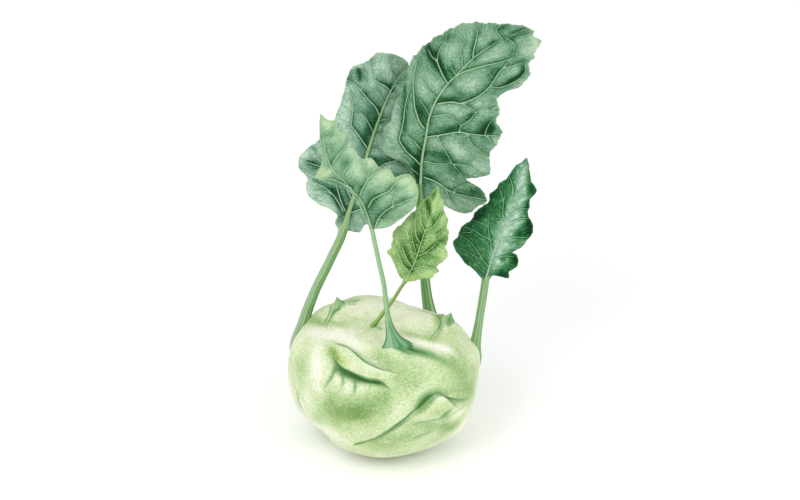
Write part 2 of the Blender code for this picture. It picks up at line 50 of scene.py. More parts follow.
# %% [markdown]
# ## The sheet
# The plant was laid out on a sheet that faces the viewer: it goes through the middle of the globe
# and leans back by 30 degrees. A point on it is (across, up, out), in millimetres. Leaf outlines,
# veins and folds are all drawn on this sheet, and `place` carries them to the object's own frame,
# in metres. The globe's widest level is REST_HEIGHT above the spot that it rests on.

# %% From the sheet to the object
MM = 0.001
REST_HEIGHT = 39.0
SHEET_TILT = math.radians(30)
ACROSS = np.array([1.0, 0.0, 0.0])
UP = np.array([0.0, math.sin(SHEET_TILT), math.cos(SHEET_TILT)])
OUT = np.array([0.0, -math.cos(SHEET_TILT), math.sin(SHEET_TILT)])


def place(points):
    """Points of the sheet, in millimetres, in the object's frame, in metres."""
    return (np.asarray(points, float) @ np.array([ACROSS, UP, OUT]) + [0, 0, REST_HEIGHT]) * MM


def smooth(keys, values, at):
    """A smooth curve through values at the given keys, read at each number of at."""
    keys, values = np.asarray(keys, float), np.asarray(values, float)
    slopes = np.gradient(values, keys, axis=0)
    i = np.clip(np.searchsorted(keys, at, side="right") - 1, 0, len(keys) - 2)
    span = (keys[i + 1] - keys[i])[:, None]
    f = (at - keys[i])[:, None] / span
    start = values[i] * (1 + 2 * f) * (1 - f) ** 2 + slopes[i] * span * f * (1 - f) ** 2
    end = values[i + 1] * f**2 * (3 - 2 * f) + slopes[i + 1] * span * f**2 * (f - 1)
    return start + end


def eased(value, low, high):
    """0 below low, 1 above high, with a soft step between."""
    f = np.clip((value - low) / (high - low), 0, 1)
    return f * f * (3 - 2 * f)


print("the sheet's middle is at", place([0, 0, 0]))

# %% [markdown]
# ## The camera
# The picture looks down on the plant by 30 degrees, from so far away that there is hardly any
# perspective. So the camera stands six metres off, square to the sheet, behind a long lens. Its
# aim is the spot of the sheet that is in the middle of the picture.

# %% Camera
CAMERA_DISTANCE = 6.0
CAMERA_AIM = (8.0, 59.5, 0.0)
eye = bpy.data.objects.new("camera", bpy.data.cameras.new("camera"))
bpy.context.scene.collection.objects.link(eye)
eye.data.lens = 540
eye.data.sensor_width = 36
eye.location = place(CAMERA_AIM) + OUT * CAMERA_DISTANCE
eye.rotation_euler = (math.pi / 2 - SHEET_TILT, 0, 0)
bpy.context.scene.camera = eye
print("camera at", [round(value, 3) for value in eye.location])

# %% [markdown]
# ## A way to write materials
# Shader maths reads best as plain expressions. `Signal` wraps a node's output socket, and adding,
# subtracting or multiplying one makes the Math node that does it. `Finish` is one material: it adds
# any node by its type, settings and inputs, and mixes colours. Colours are written as six-digit
# codes, as they should look in the picture. The lamps and the bright surround together light a
# surface a little more than fully, so each code is darkened by a share before the shader gets it.

# %% Signals and finishes
PAINT_SHARE = 0.82
SKIN_SHARE = 0.88


def paint(code, share=PAINT_SHARE):
    """A colour from its six-digit code, as the shader wants it: linear, with full alpha."""
    levels = [int(code[i : i + 2], 16) / 255 for i in (0, 2, 4)]
    linear = [((level + 0.055) / 1.055) ** 2.4 if level > 0.04045 else level / 12.92 for level in levels]
    return (*[share * value for value in linear], 1)


class Signal:
    """A number that comes out of a node, with Python's operators."""

    def __init__(self, finish, socket):
        self.finish = finish
        self.socket = socket

    def math(self, operation, *others):
        values = {i: other for i, other in enumerate((self, *others))}
        return self.finish.node("ShaderNodeMath", {"operation": operation}, values)

    def __add__(self, other):
        return self.math("ADD", other)

    def __sub__(self, other):
        return self.math("SUBTRACT", other)

    def __rsub__(self, other):
        return self.finish.node("ShaderNodeMath", {"operation": "SUBTRACT"}, {0: other, 1: self})

    def __mul__(self, other):
        return self.math("MULTIPLY", other)

    def clamped(self):
        return self.finish.node("ShaderNodeClamp", {}, {0: self})

    def eased(self, low, high):
        settings = {"interpolation_type": "SMOOTHSTEP"}
        return self.finish.node("ShaderNodeMapRange", settings, {0: self, 1: low, 2: high})

    __radd__ = __add__
    __rmul__ = __mul__


class Finish:
    """A material made of nodes, ending in one Principled shader."""

    def __init__(self, name, **constants):
        self.material = bpy.data.materials.new(name)
        self.material.use_nodes = True
        self.shader = self.material.node_tree.nodes["Principled BSDF"]
        self.shader.inputs["Metallic"].default_value = 0
        for socket, value in constants.items():
            self.shader.inputs[socket.replace("_", " ")].default_value = value
        self.place = self.node("ShaderNodeTexCoord", {}, {}, "Object")

    def node(self, kind, settings, values, output=0):
        made = self.material.node_tree.nodes.new(kind)
        for setting, value in settings.items():
            setattr(made, setting, value)
        for socket, value in values.items():
            if isinstance(value, Signal):
                self.material.node_tree.links.new(value.socket, made.inputs[socket])
            else:
                made.inputs[socket].default_value = value
        return Signal(self, made.outputs[output])

    def mask(self, name):
        return self.node("ShaderNodeAttribute", {"attribute_name": name}, {}, "Fac")

    def noise(self, size_mm, detail):
        values = {"Vector": self.place, "Scale": 1 / (size_mm * MM), "Detail": detail}
        return self.node("ShaderNodeTexNoise", {}, values)

    def mix(self, low, high, factor):
        settings = {"data_type": "RGBA"}
        values = {0: factor, 6: low, 7: high}
        return self.node("ShaderNodeMix", settings, values, 2)

    def ramp(self, level, codes, share=PAINT_SHARE):
        made = self.node("ShaderNodeValToRGB", {}, {0: level}).socket.node
        for _ in codes[2:]:
            made.color_ramp.elements.new(0.5)
        for i, code in enumerate(codes):
            made.color_ramp.elements[i].position = i / (len(codes) - 1)
            made.color_ramp.elements[i].color = paint(code, share)
        return Signal(self, made.outputs[0])

    def bump(self, height, depth_mm, strength):
        values = {"Height": height, "Distance": depth_mm * MM, "Strength": strength}
        return self.node("ShaderNodeBump", {}, values)

    def wire(self, **links):
        for socket, value in links.items():
            self.material.node_tree.links.new(value.socket, self.shader.inputs[socket.replace("_", " ")])
        return self.material


def add_mask(piece, name, values):
    """A number for each point of a piece, which its material can read."""
    mask = piece.data.attributes.new(name, "FLOAT", "POINT")
    mask.data.foreach_set("value", np.asarray(values, np.float32).ravel())


def finish_piece(piece, node, material):
    """Gives a piece its material, its smooth shading and its place in the part."""
    piece.data.materials.clear()
    piece.data.materials.append(material)
    piece.data.shade_smooth()
    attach(piece, "root")
    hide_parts(node)
    triangles = sum(len(face.vertices) - 2 for face in piece.data.polygons)
    print(piece.name, "has", triangles, "triangles")


# %% [markdown]
# ## The globe
# The real globe is a stem swollen with water. It is wider than tall, flat or dented on top, and
# narrows below to the woody root, which was cut off flat. It could be sculpted, but a formula
# gives the same form each run and the same one as the solid: a squashed sphere, with broad
# swellings, and with folds drawn as lines on the sheet. At a fold the skin on one side of the
# line stands over the skin on its other side, and both fade out with distance.

# %% Numbers of the globe
BULB_RADIUS = 47.5
CROWN_HEIGHT = 28.0
ROOT_DEPTH = 40.5
CROWN_POWER = 2.5
ROOT_POWER = 2.3
FOLD_STEP = 0.3
FOLD_FADE = 0.25
# (across, up, half width, half height, rise)
SWELLINGS = [
    (-12.0, -15.0, 14.0, 10.0, 2.4),
    (-10.0, 13.5, 18.0, 5.0, 1.3),
    (-22.0, 23.0, 16.0, 3.5, -1.0),
    (14.0, 19.0, 15.0, 3.5, -0.9),
    (24.0, 3.0, 15.0, 10.0, 1.3),
    (-40.0, 6.0, 7.0, 10.0, 0.9),
    (26.0, -29.0, 15.0, 8.0, -1.2),
    (-33.0, -30.0, 12.0, 8.0, -1.4),
    (10.0, 26.0, 12.0, 6.0, 0.8),
]
LID_TOP = [(-28, 14.8), (-18.5, 11), (-12.8, 6.5), (-6.8, 2.4), (2, -0.9), (10.8, -1.7)]
LID_EDGE = [(-27, 9.6), (-23.6, 3.3), (-16.6, -1.8), (-8, -4.7), (-1, -6.3), (3.8, -10.8)]
# name: (line, rise and reach of the skin on its left, rise and reach on its right)
EYE_FOLDS = {
    "lid_top": (LID_TOP, -2.0, 4.5, 1.6, 4.0),
    "lid_edge": (LID_EDGE, 2.0, 4.0, -3.2, 3.5),
    "outer_crow_line": ([(-25.3, -1.2), (-31.3, -10.7)], -0.8, 1.4, -0.8, 1.4),
    "middle_crow_line": ([(-19.5, -3.7), (-21.7, -10.4)], -0.9, 1.3, -0.9, 1.3),
    "inner_crow_line": ([(-14, -6.6), (-14.6, -12.3)], -0.7, 1.2, -0.7, 1.2),
}
FLAP_FOLDS = {
    "crease": ([(-14.8, -37.4), (-4.5, -34), (6.2, -27.8), (14, -22.6), (19.6, -19.8)], 1.0, 5.0, -2.0, 3.5),
    "lip": ([(12, -26), (20, -20), (25, -14.6), (28.5, -13), (33, -15.4), (38.3, -19)], -2.6, 4.5, 1.7, 5.0),
    "side_crease": ([(31, -14), (37.5, -14.9), (45, -13.6)], 0.6, 4.0, -1.6, 3.0),
    "lip_foot": ([(13, -26.4), (22, -27.6), (28, -27), (31.6, -22.8), (37, -20.2)], -0.8, 1.8, -0.8, 1.8),
    "ridge": ([(24, -30.5), (32, -26), (38.8, -22), (44, -16.5)], 0.9, 2.2, 0.9, 2.2),
    "groove": ([(41, -23.3), (32, -30.5), (23, -32.6), (8, -36)], -0.7, 2.0, -0.7, 2.0),
}
SHOULDER_FOLDS = {
    "shoulder": ([(26.7, 28.5), (29.5, 23.4), (26.7, 18.3), (22.8, 13)], -1.2, 2.5, 1.1, 4.0),
    "left_wing": ([(-23, 31), (-26, 26.4), (-28, 21)], 1.2, 1.5, 1.2, 1.5),
    "right_wing": ([(-19, 32), (-14.6, 33.6), (-7.6, 34.4)], 0.9, 1.3, 0.9, 1.3),
    "left_nick": ([(-44.6, -10.2), (-43.3, -16), (-41.5, -21.7)], 0.4, 1.5, -0.9, 1.5),
}
# (folds, turned round the globe, tilted up), in degrees. The last two are on the far side
FOLD_GROUPS = [
    (EYE_FOLDS, 0, 30),
    (FLAP_FOLDS, 0, 30),
    (SHOULDER_FOLDS, 0, 30),
    (EYE_FOLDS, 178, 8),
    (FLAP_FOLDS, 190, 5),
]
# (x, y, z, radius, rise, sharpness). A sharpness of 1 is a pointed stub, 2 a mound or a dip
BOSSES = [
    (-22.0, 19.5, 24.5, 3.6, 4.8, 1.0),
    (-22.0, 19.5, 24.5, 9.0, 1.2, 2.0),
    (31.0, 7.0, 22.6, 11.0, 2.6, 1.4),
    (31.3, 7.5, 22.8, 3.3, 4.4, 1.0),
    (23.0, 40.0, 8.0, 9.0, 1.5, 2.0),
    (-44.0, 16.0, 3.5, 10.0, 1.5, 2.0),
    (46.5, 8.0, 5.8, 9.0, 1.0, 2.0),
    (4.5, -22.0, 26.5, 9.0, 1.6, 2.0),
    (-6.0, -3.0, 28.0, 5.0, 1.0, 2.0),
    (19.0, 31.0, 21.0, 20.0, -4.4, 2.0),
    (30.0, 24.0, 19.0, 12.0, -1.2, 2.0),
    (42.0, 12.0, 14.5, 12.0, -2.4, 2.0),
    (-31.0, 26.0, 18.0, 12.0, 2.0, 2.0),
    (-13.0, 34.0, 21.0, 14.0, 1.6, 2.0),
    (-33.0, -18.0, -27.0, 16.0, -3.4, 2.0),
    (-47.0, -6.0, -2.0, 18.0, 0.6, 2.0),
    (39.0, -13.0, -27.7, 14.0, 1.8, 2.0),
]

# %% [markdown]
# The skin's colour isn't even either. It runs from cream to green, and is yellow on the lids of the
# scars. The green spots are partly the skin's own patches and partly painted shade: under the lid of
# the eye, on the lower cheeks, in the groove round the crown and beside the foot of the front leaf.
# Each soft spot is (across, up, half length, half width, turn in degrees, strength); a strength
# below 0 takes green away, and those spots are painted highlights on the shoulders, the crown and
# the rims of the folds. Beside the folds the skin darkens in fine strokes of painted shade, with one
# sharp side and one soft side, so each stroke has a reach for either side; some are painted shadow
# beside the feet of the leaves. On the front the strokes do most of this painted shade. On the far
# side, where there are none, the folds paint their shade on the skin themselves.

# %% Paint of the skin
# Strokes of painted shade in the creases beside the folds, and of painted shadow beside the feet of the
# leaves
# (line, strength, reach to its left, reach to its right, share that it fades in over, and out)
SHADE_STROKES = [
    ([
        (-26.5, 13.5), (-24, 12.2), (-21.5, 11.2), (-18.5, 10.2), (-15.5, 8.5), (-13, 6.2), (-10.5, 4.2),
        (-8, 2.5), (-5, 1), (-1.5, -0.5), (3, -1.3), (8.5, -2)
    ], 0.8, 0.9, 0.3, 0.25, 0.3),
    ([
        (-17, 9.5), (-14, 7.2), (-11.5, 5), (-8.5, 2.8), (-5, 1), (-1, -0.5), (4, -1.2)
    ], 0.32, 3.4, 0.3, 0.4, 0.4),
    ([
        (-25.8, 8.5), (-24.5, 5.5), (-22.8, 2.8), (-20.5, 0.5), (-17.5, -1), (-14, -2.8), (-10.5, -4.2),
        (-7, -5.3), (-3.5, -5.7), (-0.5, -6.7), (2, -8.7), (4, -11.2)
    ], 0.9, 0.35, 1, 0.15, 0.25),
    ([
        (-25, 4), (-22.5, 1), (-19.5, -1), (-16, -2.2), (-12.5, -3.8), (-9, -5), (-5, -6)
    ], 0.62, 0.25, 2.6, 0.3, 0.35),
    ([(-24, 2.5), (-25.2, -0.5), (-27, -4.5), (-29, -7.5), (-31, -10.5)], 0.55, 1, 1, 0.1, 0.6),
    ([(-21.5, -0.5), (-20.8, -3.5), (-20.8, -6.5), (-21.5, -9.5)], 0.42, 0.8, 0.8, 0.1, 0.6),
    ([(-14.5, -4.5), (-14.2, -8), (-14.5, -11), (-15.2, -14)], 0.5, 0.8, 0.8, 0.1, 0.6),
    ([(-7, -6.5), (-6.5, -9.5), (-6.8, -12)], 0.2, 0.6, 0.6, 0.1, 0.6),
    ([
        (-15.5, -37.5), (-11, -36.5), (-7, -35.2), (-3, -33.5), (1, -30.8), (5, -27.8), (9, -25),
        (13, -22.2), (16, -20.3), (18.5, -18.8), (20.5, -16.2), (22.5, -14), (24.5, -12.8), (27, -11.7),
        (29.5, -11.9)
    ], 0.88, 0.6, 0.55, 0.06, 0.15),
    ([(-15.5, -37.5), (-11, -36.5), (-7, -35.2), (-3, -33.5), (1, -30.8)], 0.6, 0.5, 0.5, 0.08, 0.3),
    ([(16, -20.2), (18.5, -18.2), (20.5, -15.8), (22.8, -13.8), (25.5, -12.2)], 0.97, 2.2, 1.5, 0.3, 0.3),
    ([
        (15, -20.5), (18.5, -18), (21.5, -14.5), (24, -12.5), (27, -11.4), (30.5, -12.5), (33, -14)
    ], 0.42, 3.2, 0.6, 0.35, 0.3),
    ([(-8, -36.8), (-2, -34.2), (3, -31.5), (7, -29.2), (11, -26.5), (14, -24)], 0.5, 0.5, 0.4, 0.3, 0.3),
    ([(-13, -37), (-7, -35.5), (-2.5, -33.5), (2, -30.5), (7, -27), (12, -23.5)], 0.42, 0.5, 1.5, 0.3, 0.3),
    ([
        (28.5, -12.2), (31, -13.8), (33.5, -15), (36, -15.2), (39.5, -14.7), (44, -13.8)
    ], 0.55, 0.7, 0.4, 0.3, 0.2),
    ([(33.5, -15.5), (36.5, -15.8), (39.5, -15.5), (43, -15)], 0.3, 0.3, 2, 0.3, 0.2),
    ([(31, -14.8), (33.5, -16.5), (35.5, -18), (37.5, -19.2)], 0.4, 0.6, 0.3, 0.2, 0.3),
    ([
        (12, -28), (16, -27.5), (20, -26.4), (24, -25.5), (27.5, -25.2), (30, -24), (32.5, -21.8),
        (35, -19.5)
    ], 0.45, 0.5, 0.9, 0.35, 0.3),
    ([(28, -25.5), (30.5, -23.5), (32.5, -21.5), (34, -20)], 0.5, 1.3, 1, 0.4, 0.4),
    ([(28.5, -27), (31.5, -25), (34.5, -22.5), (37.5, -20), (41.5, -17)], 0.28, 0.5, 0.6, 0.3, 0.3),
    ([
        (7, -36.2), (12, -35.8), (16, -34.5), (20, -33.2), (25, -32.2), (30, -31.8)
    ], 0.38, 0.4, 0.9, 0.4, 0.4),
    ([(28.5, -32), (32.5, -31), (35.5, -28.5), (38, -25.5), (39.5, -22.5)], 0.3, 0.6, 1.6, 0.4, 0.4),
    ([
        (-24.3, 33.5), (-25, 31), (-26.3, 28.5), (-28, 26.3), (-29.5, 23.8), (-30.2, 20.8)
    ], 0.7, 0.35, 0.4, 0.15, 0.3),
    ([
        (-20.5, 30.4), (-22.5, 29), (-24.8, 27.5), (-26.5, 25.5), (-28, 23.5), (-29.5, 20.5)
    ], 0.75, 0.45, 0.35, 0.1, 0.3),
    ([(-18.8, 32), (-16, 32.5), (-13.5, 33.2), (-10.5, 33.7)], 0.5, 0.35, 0.4, 0.1, 0.4),
    ([(-18.5, 31), (-15, 31.6), (-12, 32.4)], 0.42, 0.4, 0.35, 0.15, 0.4),
    ([(-22, 31), (-24, 28.8), (-26.5, 26)], 0.25, 1.0, 1.0, 0.2, 0.4),
    ([(-23.4, 31.2), (-22, 31.4), (-20.2, 31.2), (-18.6, 30.8)], 0.85, 0.9, 0.9, 0.25, 0.25),
    ([(23.2, 27.4), (25.6, 26), (27, 24), (27.7, 21.8), (26.6, 19.6)], 0.75, 0.75, 0.3, 0.3, 0.15),
    ([(27.8, 21.6), (26.4, 19.2), (24.4, 16.8), (22.7, 14.4), (21.2, 12.6)], 0.55, 0.4, 0.35, 0.1, 0.4),
    ([(33.2, 26), (33, 24.5), (33.5, 22.5), (34, 21.2)], 0.85, 0.8, 0.8, 0.25, 0.3),
    ([(31, 24), (31.8, 22.4), (32.8, 20.6)], 0.75, 1.0, 1.2, 0.3, 0.4),
    ([(34, 26.8), (35, 25), (36.5, 22.5), (37.8, 20.5)], 0.6, 0.7, 0.3, 0.2, 0.3),
    ([(-7.2, 21.8), (-6.2, 21), (-4.8, 21.2), (-3.5, 22)], 0.5, 0.5, 0.6, 0.2, 0.3),
    ([(-4.5, 21.2), (-2.5, 20.8), (0, 19.8)], 0.42, 0.8, 0.8, 0.3, 0.3),
    ([(-8, 25), (-9, 23), (-8.2, 20.5), (-6.5, 19)], 0.25, 0.7, 0.7, 0.3, 0.3),
    ([(4.5, 12.5), (8.5, 11.5), (12, 10.2), (15.5, 9), (20, 7.8), (25, 5.8)], 0.95, 1.6, 1.9, 0.12, 0.5),
    ([(14, 9.5), (19, 8), (24.5, 6), (29.5, 3.2), (34, 0.5)], 0.42, 1.6, 1.8, 0.3, 0.5),
    ([(0.5, 12.4), (2.5, 11.4), (6, 10.2), (10, 8.8), (15, 7)], 0.8, 0.6, 0.8, 0.1, 0.4),
    ([(-43.8, -11), (-42.8, -13.5), (-42.5, -16.5), (-41, -19.5), (-40.5, -22)], 0.4, 0.5, 0.6, 0.3, 0.3),
    ([(-45, -8), (-43.5, -10.5), (-41.5, -13.5)], 0.25, 0.4, 0.5, 0.3, 0.3),
    ([(19, 29.5), (22.5, 28.5), (26, 27)], 0.4, 0.8, 0.6, 0.3, 0.3),
]
# Soft spots of the skin's own green and of painted shade; those below 0 are painted highlights
GREEN_AND_SHADE_SPOTS = [
    (-16, -20.5, 17, 8.5, 0, 0.5), (-13, -21, 10, 4.5, 8, 0.34), (-27, -17.5, 4.5, 7.5, 15, 0.26),
    (1, -14, 4, 6.5, -25, 0.22), (-6, -15, 7, 4.5, 0, 0.16), (39.5, -6.5, 10, 11.5, 0, 0.42),
    (41.5, -10, 4.5, 5, 0, 0.22), (-40.5, 1.5, 4.5, 6.5, 0, 0.28), (-42, -5.5, 2.5, 7, 0, 0.1),
    (0, 5.5, 10, 4, -28, 0.36), (-34, 24, 7, 2.1, -5, 0.5), (-22.5, 23, 5, 1.3, 0, 0.34),
    (-14.5, 25.5, 10, 1.5, -3, 0.12), (-36, 25.5, 4, 2, 0, 0.2), (15, 17, 9.5, 1.6, -14, 0.36),
    (27, 24, 2.25, 4, 0, 0.55), (23, 19, 3.5, 2, 0, 0.12), (23, 15.5, 3, 3, 30, 0.2),
    (18, 8.5, 10, 2, -17, 0.4), (29, 3.5, 9, 2.25, -28, 0.42), (27, -21.5, 6, 2.25, 0, 0.25),
    (23.5, -28.5, 11, 2.5, -5, 0.35), (34, -28.5, 5, 5.5, 30, 0.4), (9, -34, 16, 3.5, 12, 0.34),
    (-2, -39, 14, 2.5, 5, 0.25), (28, -35.5, 8, 3, 30, 0.3), (-21.5, 33, 3, 2, -20, 0.5),
    (-25.5, 27.5, 1.5, 4.5, -25, 0.15), (-15, 33.5, 4.5, 0.9, 8, 0.35), (32, 16.5, 6, 4, 20, 0.2),
    (18, -1.5, 13, 6, -20, 0.12), (35.5, 7, 6, 5, -40, 0.3), (-27, 8.5, 2, 5, 15, 0.2),
    (-36, 12, 5, 3, 30, 0.12), (-24.5, 17.5, 12, 3.5, -5, -0.34), (-15, 12.5, 7.5, 2.5, -20, -0.4),
    (-33.5, 1.5, 3, 13, 0, -0.36), (20.5, 12.5, 12, 1.8, -20, -0.34), (-41, -23, 3, 10, -15, -0.2),
    (-26.5, -33.5, 13, 2.5, -25, -0.3), (-23, -5, 1.8, 3.5, -20, -0.2), (-17.8, -8, 1.8, 4, 0, -0.18),
    (-11, -9.5, 2.25, 3.5, 0, -0.12), (9, -18, 14, 2, 40, -0.16), (-5.5, 3.5, 7.5, 1.5, -30, -0.35),
    (1, 14, 2, 3, 20, -0.3), (35.5, -22, 4.5, 1.3, 40, -0.35), (28, -14.5, 5, 1, 10, -0.2),
    (31, 9.5, 6, 2, -25, -0.25), (30, 22.5, 1, 4.5, 10, -0.3), (14, 25.5, 12, 4.5, -15, -0.26),
    (-8, 30.5, 17, 4.5, 0, -0.24), (32, 12, 6, 5, -30, -0.12), (10, -7.5, 12, 8, 0, 0.34),
    (-23.5, 6, 4.5, 2.1, -58, 0.62), (-25.5, 9.5, 2, 2.5, -50, 0.2), (-42, 12, 5, 4, 40, -0.15),
]
WARM_SPOTS = [
    (-23.5, 6.5, 4.5, 2.2, -58, 0.95), (-19, 3, 6.5, 2.5, -42, 0.6), (28.5, 17, 5, 4, 35, 0.5),
    (33.5, 23.5, 1.2, 2, 0, 0.9), (28, -18, 5.5, 3, 0, 0.42), (35, -27.5, 3, 5.5, -30, 0.45),
    (-16, -22, 10, 4, 0, 0.5), (-13, 29.5, 15, 4, 0, 0.35), (10.5, 25.5, 12, 4.5, -15, 0.3),
    (-42, 12, 6, 7, 0, 0.25), (21, -17, 2, 3, 40, 0.5), (2, -32.5, 12, 1.5, 32, 0.4),
    (13, 25.5, 8, 3, 0, 0.2), (-26.5, 24, 1, 3, -25, 0.4), (-12, -37.5, 5, 1.2, 15, 0.5),
    (39, -14, 4, 2.5, 0, 0.25), (20, -18, 7, 3, 42, 0.5), (-8, -35.5, 8, 1.5, 20, 0.5),
]
# Pale strokes, in the same form: rims of the folds that catch the light
PALE_STROKES = [
    ([
        (17.5, -21), (20, -18.8), (22.2, -16.4), (24.5, -14.6), (27, -13.6), (29, -13.8), (32, -15.5)
    ], 0.75, 0.45, 0.5, 0.25, 0.3),
    ([(-14, 5.2), (-11, 3), (-7.5, 0.8), (-3, -1.2), (2, -2.4)], 0.5, 0.9, 0.9, 0.3, 0.3),
    ([(31, -28), (34.5, -25), (38, -21.5), (42, -18)], 0.55, 0.7, 0.8, 0.3, 0.3),
    ([(30.5, 26.5), (31.2, 23), (30, 19.5), (27.5, 16)], 0.4, 0.8, 0.8, 0.3, 0.3),
    ([(7.5, 15.5), (10.5, 13.2), (14, 11.5), (18, 10.2), (23, 8.8)], 0.6, 0.5, 0.8, 0.3, 0.3),
    ([(15.5, 10.5), (20.5, 9.5), (26, 7.5), (31.5, 4.5)], 0.35, 1, 0.8, 0.3, 0.3),
    ([(2, 19), (0, 16.5), (-1.5, 14)], 0.4, 0.6, 0.6, 0.3, 0.3),
]


def beside_line(line, across, up):
    """How far each point is to the left of a line, and how far along it, from 0 to 1."""
    line = np.asarray(line, float)
    steps = np.diff(line, axis=0)
    lengths = np.linalg.norm(steps, axis=1)
    starts = np.concatenate([[0], np.cumsum(lengths)])
    nearest = np.full(across.shape, np.inf)
    left = np.zeros(across.shape)
    share = np.zeros(across.shape)
    for begin, step, length, passed in zip(line, steps, lengths, starts):
        dx, dy = across - begin[0], up - begin[1]
        f = np.clip((dx * step[0] + dy * step[1]) / length**2, 0, 1)
        distance = np.hypot(dx - f * step[0], dy - f * step[1])
        side = np.sign(step[0] * dy - step[1] * dx)
        closer = distance < nearest
        nearest = np.where(closer, distance, nearest)
        left = np.where(closer, side * distance, left)
        share = np.where(closer, (passed + f * length) / starts[-1], share)
    return left, share


CREASE_REACH = 0.7
SHADE_REACH = 3.0
SMALLEST_STEP = 0.3
FULLY_SHADED_STEP = 2.5
FRONT_CREASE = 0.25


def fold_relief(fold, across, up):
    """The rise of the skin at one fold, and how much it shades the skin below its step."""
    line, left_rise, left_reach, right_rise, right_reach = fold
    if len(line) > 2:
        keys = np.arange(len(line))
        line = smooth(keys, line, np.linspace(0, keys[-1], 6 * len(line)))
    left, share = beside_line(line, across, up)
    on_left = 0.5 + 0.5 * np.tanh(left / FOLD_STEP)
    fades = eased(share, 0, FOLD_FADE) * eased(1 - share, 0, FOLD_FADE)
    distance = np.abs(left)
    left_side = on_left * left_rise * np.exp(-distance / left_reach)
    right_side = (1 - on_left) * right_rise * np.exp(-distance / right_reach)
    step = abs(left_rise - right_rise)
    low_side = on_left if left_rise < right_rise else 1 - on_left
    if step < SMALLEST_STEP:
        low_side, step = 0.6, abs(left_rise)
        if left_rise > 0:
            low_side = 0.15
    shade = np.exp(-distance / CREASE_REACH) * 0.75 + low_side * np.exp(-distance / SHADE_REACH) * 0.5
    return fades * (left_side + right_side), fades * shade * min(step / FULLY_SHADED_STEP, 1)


def soft_spots(spots, across, up):
    """Soft spots added up, each strongest in its middle."""
    total = np.zeros(across.shape)
    for x, y, long, wide, turn, strength in spots:
        turn = math.radians(turn)
        dx, dy = across - x, up - y
        lengthwise = (dx * math.cos(turn) + dy * math.sin(turn)) / long
        crosswise = (dy * math.cos(turn) - dx * math.sin(turn)) / wide
        total += strength * np.exp(-(lengthwise**2) - crosswise**2)
    return total


def stroke_darkness(stroke, across, up):
    """How strong one stroke is at each point."""
    line, strength, left_reach, right_reach, fade_in, fade_out = stroke
    line = np.array(line, float)
    margin = 3 * max(left_reach, right_reach)
    low, high = line.min(axis=0) - margin, line.max(axis=0) + margin
    close = (across > low[0]) & (across < high[0]) & (up > low[1]) & (up < high[1])
    keys = np.arange(len(line))
    fine = smooth(keys, line, np.linspace(0, keys[-1], 4 * len(line)))
    left, share = beside_line(fine, across[close], up[close])
    reach = np.where(left > 0, left_reach, right_reach)
    ends = np.clip(share / fade_in, 0, 1) * np.clip((1 - share) / fade_out, 0, 1)
    strengths = np.zeros(across.shape)
    strengths[close] = strength * ends**0.7 * np.exp(-((np.abs(left) / reach) ** 1.4))
    return strengths


def all_strokes(strokes, across, up):
    """Strokes laid over each other, as washes of paint are."""
    bare = np.ones(across.shape)
    for stroke in strokes:
        bare *= 1 - stroke_darkness(stroke, across, up)
    return 1 - bare


def chance_field(points, size, seed):
    """Soft chance patches of about the given size: waves in many directions, added up."""
    draw = np.random.default_rng(seed)
    total = np.zeros(len(points))
    for direction, shift in zip(draw.normal(size=(14, 3)), draw.uniform(0, 2 * math.pi, 14)):
        total += np.sin(points @ direction * (math.pi / size) + shift)
    return total / math.sqrt(14 / 2)


# Millimetres that the darkest stroke sinks into the skin, and how green the plain skin is
ENGRAVED = 0.25
BASE_GREEN = 0.37


